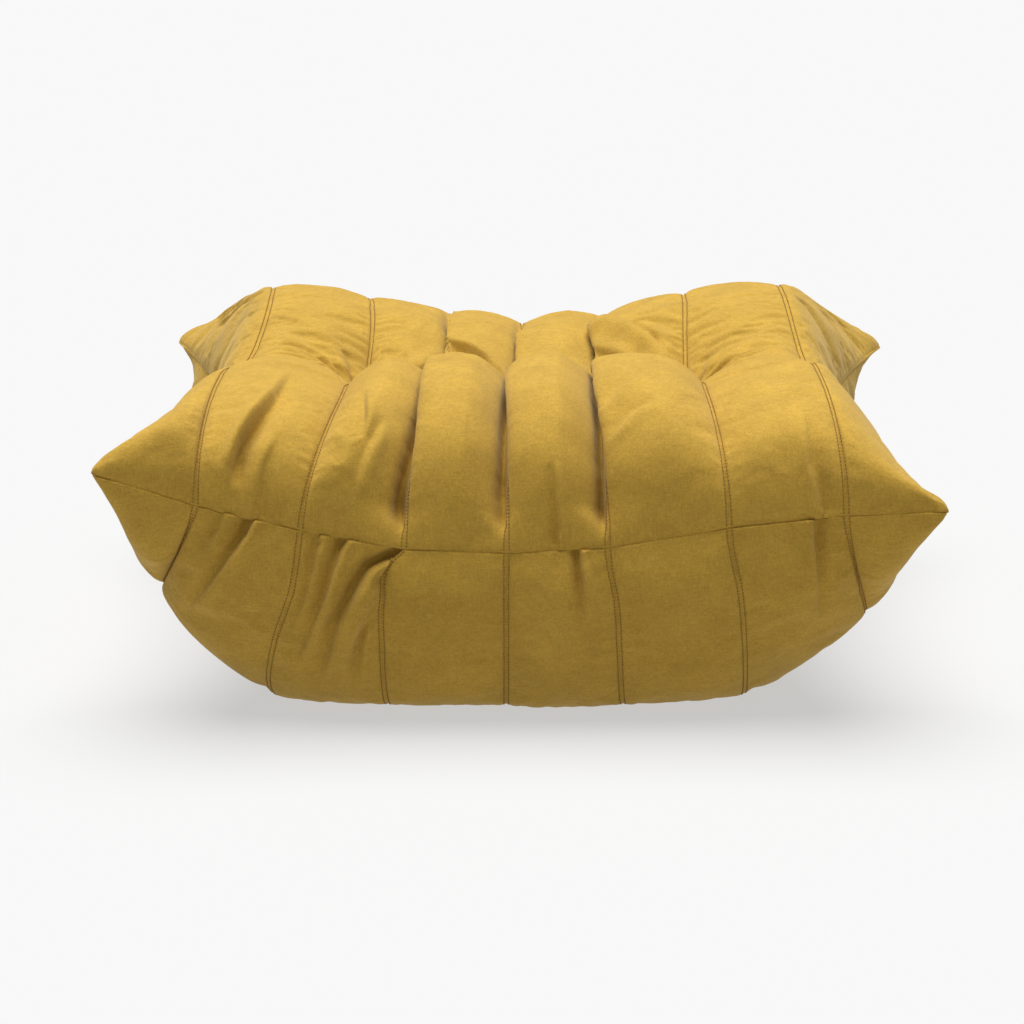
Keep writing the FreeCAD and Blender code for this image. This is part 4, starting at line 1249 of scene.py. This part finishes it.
def block(name, low, high, roundness, section, lumps, seed):
    """A closed rounded block between two corners, a little uneven, like cut foam or a wad of fibre."""
    rings, sides = 40, 72
    up = np.linspace(-np.pi / 2, np.pi / 2, rings + 1)[1:-1]
    turn = np.arange(sides) * 2 * np.pi / sides

    def power(value, exponent):
        return np.sign(value) * np.abs(value) ** exponent

    shape = np.stack(
        [
            power(np.cos(up), min(roundness, section))[:, None] * power(np.cos(turn), roundness)[None],
            power(np.cos(up), section)[:, None] * power(np.sin(turn), roundness)[None],
            power(np.sin(up), section)[:, None] + 0 * turn[None],
        ],
        -1,
    )
    uneven = noise_net(seed, up[:, None] * 0.1 + 0 * turn, 0 * up[:, None] + np.cos(turn)[None] * 0.08, 0.03)
    shape = shape * (1 - lumps * (1 + uneven[..., None]) / 2)
    points = np.concatenate([shape.reshape(-1, 3), [(0, 0, -1 + lumps), (0, 0, 1 - lumps)]])
    middle, half = (np.array(low) + np.array(high)) / 2, (np.array(high) - np.array(low)) / 2
    last = (len(up) - 1) * sides
    caps = [((side + 1) % sides, side, len(points) - 2) for side in range(sides)]
    caps += [(last + side, last + (side + 1) % sides, len(points) - 1) for side in range(sides)]
    return add_mesh(name, (points * half + middle).tolist(), ring_quads(len(up), sides) + caps)


def tube(name, path, radius, sides=10, strands=0, pitch=0.012):
    """A closed round rod along a path. With strands, its surface is laid like twisted twine."""
    path = np.asarray(path, float)
    along = np.gradient(path, axis=0)
    along /= np.linalg.norm(along, axis=1, keepdims=True)
    side = np.cross(along, np.where(np.abs(along[:, 2:]) > 0.9, [[1.0, 0, 0]], [[0, 0, 1.0]]))
    side /= np.linalg.norm(side, axis=1, keepdims=True)
    other = np.cross(along, side)
    reach = np.concatenate([[0], np.cumsum(np.linalg.norm(np.diff(path, axis=0), axis=1))])
    turn = np.arange(sides) * 2 * np.pi / sides
    twist = turn[None] + 2 * np.pi * reach[:, None] / pitch
    size = radius * (1 - 0.18 * np.abs(np.sin(0.5 * strands * twist)))
    ring = side[:, None] * np.cos(turn)[None, :, None] + other[:, None] * np.sin(turn)[None, :, None]
    points = (path[:, None] + ring * size[..., None]).reshape(-1, 3)
    last = (len(path) - 1) * sides
    ends = [tuple(range(sides - 1, -1, -1)), tuple(range(last, last + sides))]
    return add_mesh(name, points.tolist(), ring_quads(len(path), sides) + ends)


def joined(name, pieces):
    """Several mesh objects as one."""
    points, faces, start = [], [], 0
    for piece in pieces:
        points += [vertex.co[:] for vertex in piece.data.vertices]
        faces += [tuple(start + i for i in polygon.vertices) for polygon in piece.data.polygons]
        start = len(points)
        bpy.data.objects.remove(piece)
    return add_mesh(name, points, faces)


# How far below its seam's cloth a tuft's loop starts
LOOP_DROP = 0.003
disc_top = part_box("tuft_anchor_discs")[1].z
loops, twines = [], []
for k in TUFTED_SEAMS:
    top = seam_line(k, np.array([0.0]))[0] - (0, 0, PANEL_THICKNESS + LOOP_DROP)
    turn = np.linspace(0, 2 * np.pi, 25)[:-1]
    hoop = np.stack([0 * turn, 0.005 * np.sin(turn), -0.006 + 0.006 * np.cos(turn)], -1) + top
    loops.append(tube("loop", np.concatenate([hoop, hoop[:1]]), 0.0012, 8))
    rise = np.linspace(0, 1, 160)[:, None]
    foot = np.array([top[0], 0, disc_top - 0.001])
    twines.append(tube("twine", foot * (1 - rise) + (top - (0, 0, 0.011)) * rise, 0.0015, 18, 3))
finish_piece(joined("tuft_loops", loops), LOOP_TAPE, nodes=["seam_loops"])
finish_piece(joined("tuft_ties", twines), TWINE, nodes=["tuft_twines"])

# The filling keeps clear of the deepest creases
FOAM_HALF_DEPTH = 0.318
ROLL_DROP = 0.038
ROLL_INNER = 0.055
BASE_SLAB_HALF = 0.222
BASE_SLAB_RISE = 0.006
FOAM_CLEARANCE = 0.003
for seed, node in enumerate(sorted(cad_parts)):
    if node.startswith("foam") or node.startswith("corner_fill"):
        low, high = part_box(node)
        soft = node.startswith("corner")
        shrink = Vector([FOAM_CLEARANCE] * 3)
        low, high = low + shrink, high - shrink
        if node.endswith("roll") or node == "foam_middle_slab":
            low.y, high.y = max(low.y, -FOAM_HALF_DEPTH), min(high.y, FOAM_HALF_DEPTH)
        section = 0.9 if node.endswith("roll") else 0.8 if soft else 0.3
        if node.endswith("roll"):
            high.z -= ROLL_DROP
            low.y = math.copysign(max(abs(low.y), ROLL_INNER), low.y)
            high.y = math.copysign(max(abs(high.y), ROLL_INNER), high.y)
        elif node == "foam_base_slab":
            low.x, high.x = -BASE_SLAB_HALF, BASE_SLAB_HALF
            low.z += BASE_SLAB_RISE
        roundness, lumps = (0.8, 0.10) if soft else (0.3, 0.02)
        wad = block(f"{node}_piece", low, high, roundness, section, lumps, 700 + seed)
        finish_piece(wad, FIBRE if soft else FOAM, nodes=[node])

# --- The underside -------------------------------------------------------------------------------


def plate(name, low, high, columns, rows, sag, pitch, seed, edges=()):
    """A thin closed sheet of cloth in a box, a little uneven. edges are the y sides, -1 or 1, with a hem."""
    x = np.linspace(low.x, high.x, columns)
    y = np.linspace(low.y, high.y, rows)
    across, along = np.meshgrid(x, y, indexing="ij")
    spans = ((across, low.x, high.x), (along, low.y, high.y))
    fade = np.minimum(*((1 - np.abs(2 * (p - a) / (b - a) - 1)) for p, a, b in spans))
    lift = sag * noise_net(seed, across + 0.3, along, pitch) * unit(fade / 0.1)
    hem = np.zeros(lift.shape)
    for side in edges:
        from_edge = np.abs(along - (low.y if side < 0 else high.y))
        hem += 0.5 * MM * (1 - unit((from_edge - HEM_WIDTH) / 0.0008))
        hem -= 0.3 * MM * np.exp(-(((from_edge - HEM_WIDTH + 0.002) / 0.0008) ** 2))
    top = np.stack([across, along, high.z + lift], -1)
    bottom = np.stack([across, along, low.z + lift - hem], -1)
    quads, _ = shell_quads(columns, rows)
    return net_mesh(name, np.concatenate([top.reshape(-1, 3), bottom.reshape(-1, 3)]), quads)


HEM_WIDTH = 0.008


def helix(name, low, high, phase):
    """A zip coil: one filament wound along X, filling the box from low to high."""
    start, end = low.x + COIL_WIRE, high.x - COIL_WIRE
    middle = (low + high) / 2
    half_y, half_z = (high.y - low.y) / 2 - COIL_WIRE, (high.z - low.z) / 2 - COIL_WIRE
    turns = (end - start) / COIL_PITCH
    angle = np.linspace(0, 2 * np.pi * turns, int(turns * COIL_STEPS)) + phase
    x = np.linspace(start, end, len(angle))
    path = np.stack([x, middle.y + half_y * np.cos(angle), middle.z + half_z * np.sin(angle)], -1)
    return tube(name, path, COIL_WIRE, 6)


COIL_STEPS = 11
COIL_PITCH = 0.0014
COIL_WIRE = 0.00032
COVER_BASE = [f"lower_{side}_strip_{k}" for side in ("front", "rear") for k in range(3, 7)]
COVER_BASE += ["lower_strip_2", "lower_strip_7"]
BASE_SHEETS = {"front": ((0.469, 0.3835), 150, 120, (1,), 30), "rear": ((0.469, 0.0835), 150, 40, (-1,), 31)}
for side, (flat, columns, rows, edges, seed) in BASE_SHEETS.items():
    node = f"base_cloth_{side}"
    sheet = plate(f"{node}_sheet", *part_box(node), columns, rows, 0.0012, 0.05, seed, edges)
    finish_piece(sheet, BASE_CLOTH, nodes=[node])
    tape_node = f"zip_tape_{side}"
    tape = plate(f"{tape_node}_strip", *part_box(tape_node), 260, 12, 0.0001, 0.03, seed + 5)
    finish_piece(tape, TAPE_CLOTH, nodes=[tape_node])
    coil_node = f"zip_coil_{side}"
    coil = helix(f"{coil_node}_filament", *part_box(coil_node), 0 if side == "front" else np.pi)
    finish_piece(coil, COIL_PLASTIC, nodes=[coil_node])

# Past each end of the zip, the slot between the base cloths is sewn shut with a patch that rises over the stop
PATCH_START = 0.2105
PATCH_HALF = 0.0105
# The patch starts to rise this far from the zip, and is at full height a slope further in
PATCH_RISE_EDGE = 0.0058
PATCH_SLOPE = 0.0022
zip_y = (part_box("zip_coil_front")[1].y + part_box("zip_coil_rear")[0].y) / 2
cloth_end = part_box("base_cloth_front")[1].x
tape_low, tape_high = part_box("zip_tape_front")
stop_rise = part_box("zip_top_stop")[1].z - tape_low.z + 0.0001
for side, sign, stop in (("left", -1, "zip_bottom_stop"), ("right", 1, "zip_top_stop")):
    ends = sorted((sign * PATCH_START, sign * cloth_end))
    low = Vector((ends[0], zip_y - PATCH_HALF, tape_low.z))
    high = Vector((ends[1], zip_y + PATCH_HALF, tape_high.z))
    patch = plate(f"zip_end_patch_{side}", low, high, 16, 60, 0, 0.03, 60)
    for vertex in patch.data.vertices:
        inward = (PATCH_RISE_EDGE - abs(vertex.co.y - zip_y)) / PATCH_SLOPE
        vertex.co.z += stop_rise * min(max(inward, 0), 1)
    finish_piece(patch, BASE_CLOTH)

DISC_RADIUS = 0.0148
# A disc's outline from the middle of its top to the middle of its underside, as shares of radius and height
DISC_PROFILE = ((0, 0.9), (0.25, 0.96), (0.6, 1), (0.9, 0.9), (1, 0.6))
DISC_PROFILE += ((1, 0.35), (0.9, 0.06), (0.6, 0), (0, 0))


def disc(centre, low_z, high_z, seed):
    """A closed round felt washer with soft, slightly uneven edges."""
    sides = 48
    turn = np.arange(sides) * 2 * np.pi / sides
    uneven = 1 - 0.012 * (1 + noise_line(seed, turn * 0.01, 0.004))
    points = []
    for size, height in DISC_PROFILE[1:-1]:
        ring = np.stack([np.cos(turn) * uneven, np.sin(turn) * uneven], -1) * size * DISC_RADIUS
        points += [(centre[0] + x, centre[1] + y, low_z + height * (high_z - low_z)) for x, y in ring]
    quads = [(a, d, c, b) for a, b, c, d in ring_quads(len(DISC_PROFILE) - 2, sides)]
    last = (len(DISC_PROFILE) - 3) * sides
    top_z = low_z + DISC_PROFILE[0][1] * (high_z - low_z)
    points += [(centre[0], centre[1], top_z), (centre[0], centre[1], low_z)]
    for side in range(sides):
        quads.append((side, (side + 1) % sides, len(points) - 2))
        quads.append((last + (side + 1) % sides, last + side, len(points) - 1))
    return add_mesh("disc", points, quads)


low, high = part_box("tuft_anchor_discs")
tuft_feet = [seam_line(k, np.array([0.0]))[0, 0] for k in TUFTED_SEAMS]
discs = [disc((x, 0), low.z, high.z, 40 + i) for i, x in enumerate(tuft_feet)]
finish_piece(joined("tuft_washers", discs), FELT, nodes=["tuft_anchor_discs"])

# --- The CAD nodes that are shown as they are ----------------------------------------------------

for node in ("zip_bottom_stop", "zip_top_stop", "zip_slider", "zip_pull_tab"):
    paint(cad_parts[node], ZIP_METAL)

# --- Floor, light and camera ---------------------------------------------------------------------

FLOOR_SIZE = 400
FLOOR_COLOUR = (0.20, 0.20, 0.20)
FLOOR_GLOW = 0.535


def floor():
    made = Nodes("floor_paper")
    grain = made.noise(3, 2)
    base = made.ramp(grain, "Fac", [(0.3, tint(*FLOOR_COLOUR, 0.998)), (0.7, tint(*FLOOR_COLOUR))])
    made.link(base, "Color", made.shader, "Base Color")
    made.set(Roughness=1.0, Specular_IOR_Level=0.0, Emission_Color=(1, 1, 1, 1), Emission_Strength=FLOOR_GLOW)
    half = FLOOR_SIZE / 2
    corners = [(-half, -half, 0), (half, -half, 0), (half, half, 0), (-half, half, 0)]
    piece = net_mesh("studio_floor", corners, [(0, 1, 2, 3)])
    paint(piece, made.material)
    piece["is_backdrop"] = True


floor()

world = bpy.data.worlds.new("studio")
bpy.context.scene.world = world
world.use_nodes = True
world.node_tree.nodes["Background"].inputs["Color"].default_value = (1, 1, 1, 1)
world.node_tree.nodes["Background"].inputs["Strength"].default_value = 0.19


def sun(name, strength, spread, direction):
    """A soft light from far away, shining along direction."""
    light = bpy.data.lights.new(name, "SUN")
    light.energy = strength
    light.angle = math.radians(spread)
    lamp = bpy.data.objects.new(name, light)
    lamp.rotation_euler = Vector(direction).to_track_quat("-Z", "Y").to_euler()
    bpy.context.scene.collection.objects.link(lamp)


sun("top_light", 5.85, 60, (0.03, -0.14, -1))

CAMERA_DISTANCE = 3.78
CAMERA_HEIGHT = 0.1377
CAMERA_TILT = math.radians(13.8)
CAMERA_SIDE = -0.016
camera_data = bpy.data.cameras.new("camera")
camera_data.lens = 117.5
camera_data.sensor_width = 36
camera = bpy.data.objects.new("camera", camera_data)
camera.location = (
    CAMERA_SIDE,
    -CAMERA_DISTANCE * math.cos(CAMERA_TILT),
    CAMERA_HEIGHT + CAMERA_DISTANCE * math.sin(CAMERA_TILT),
)
camera.rotation_euler = (math.pi / 2 - CAMERA_TILT, 0, 0)
bpy.context.scene.collection.objects.link(camera)
bpy.context.scene.camera = camera
bpy.context.scene.view_settings.view_transform = "Standard"

low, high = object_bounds()
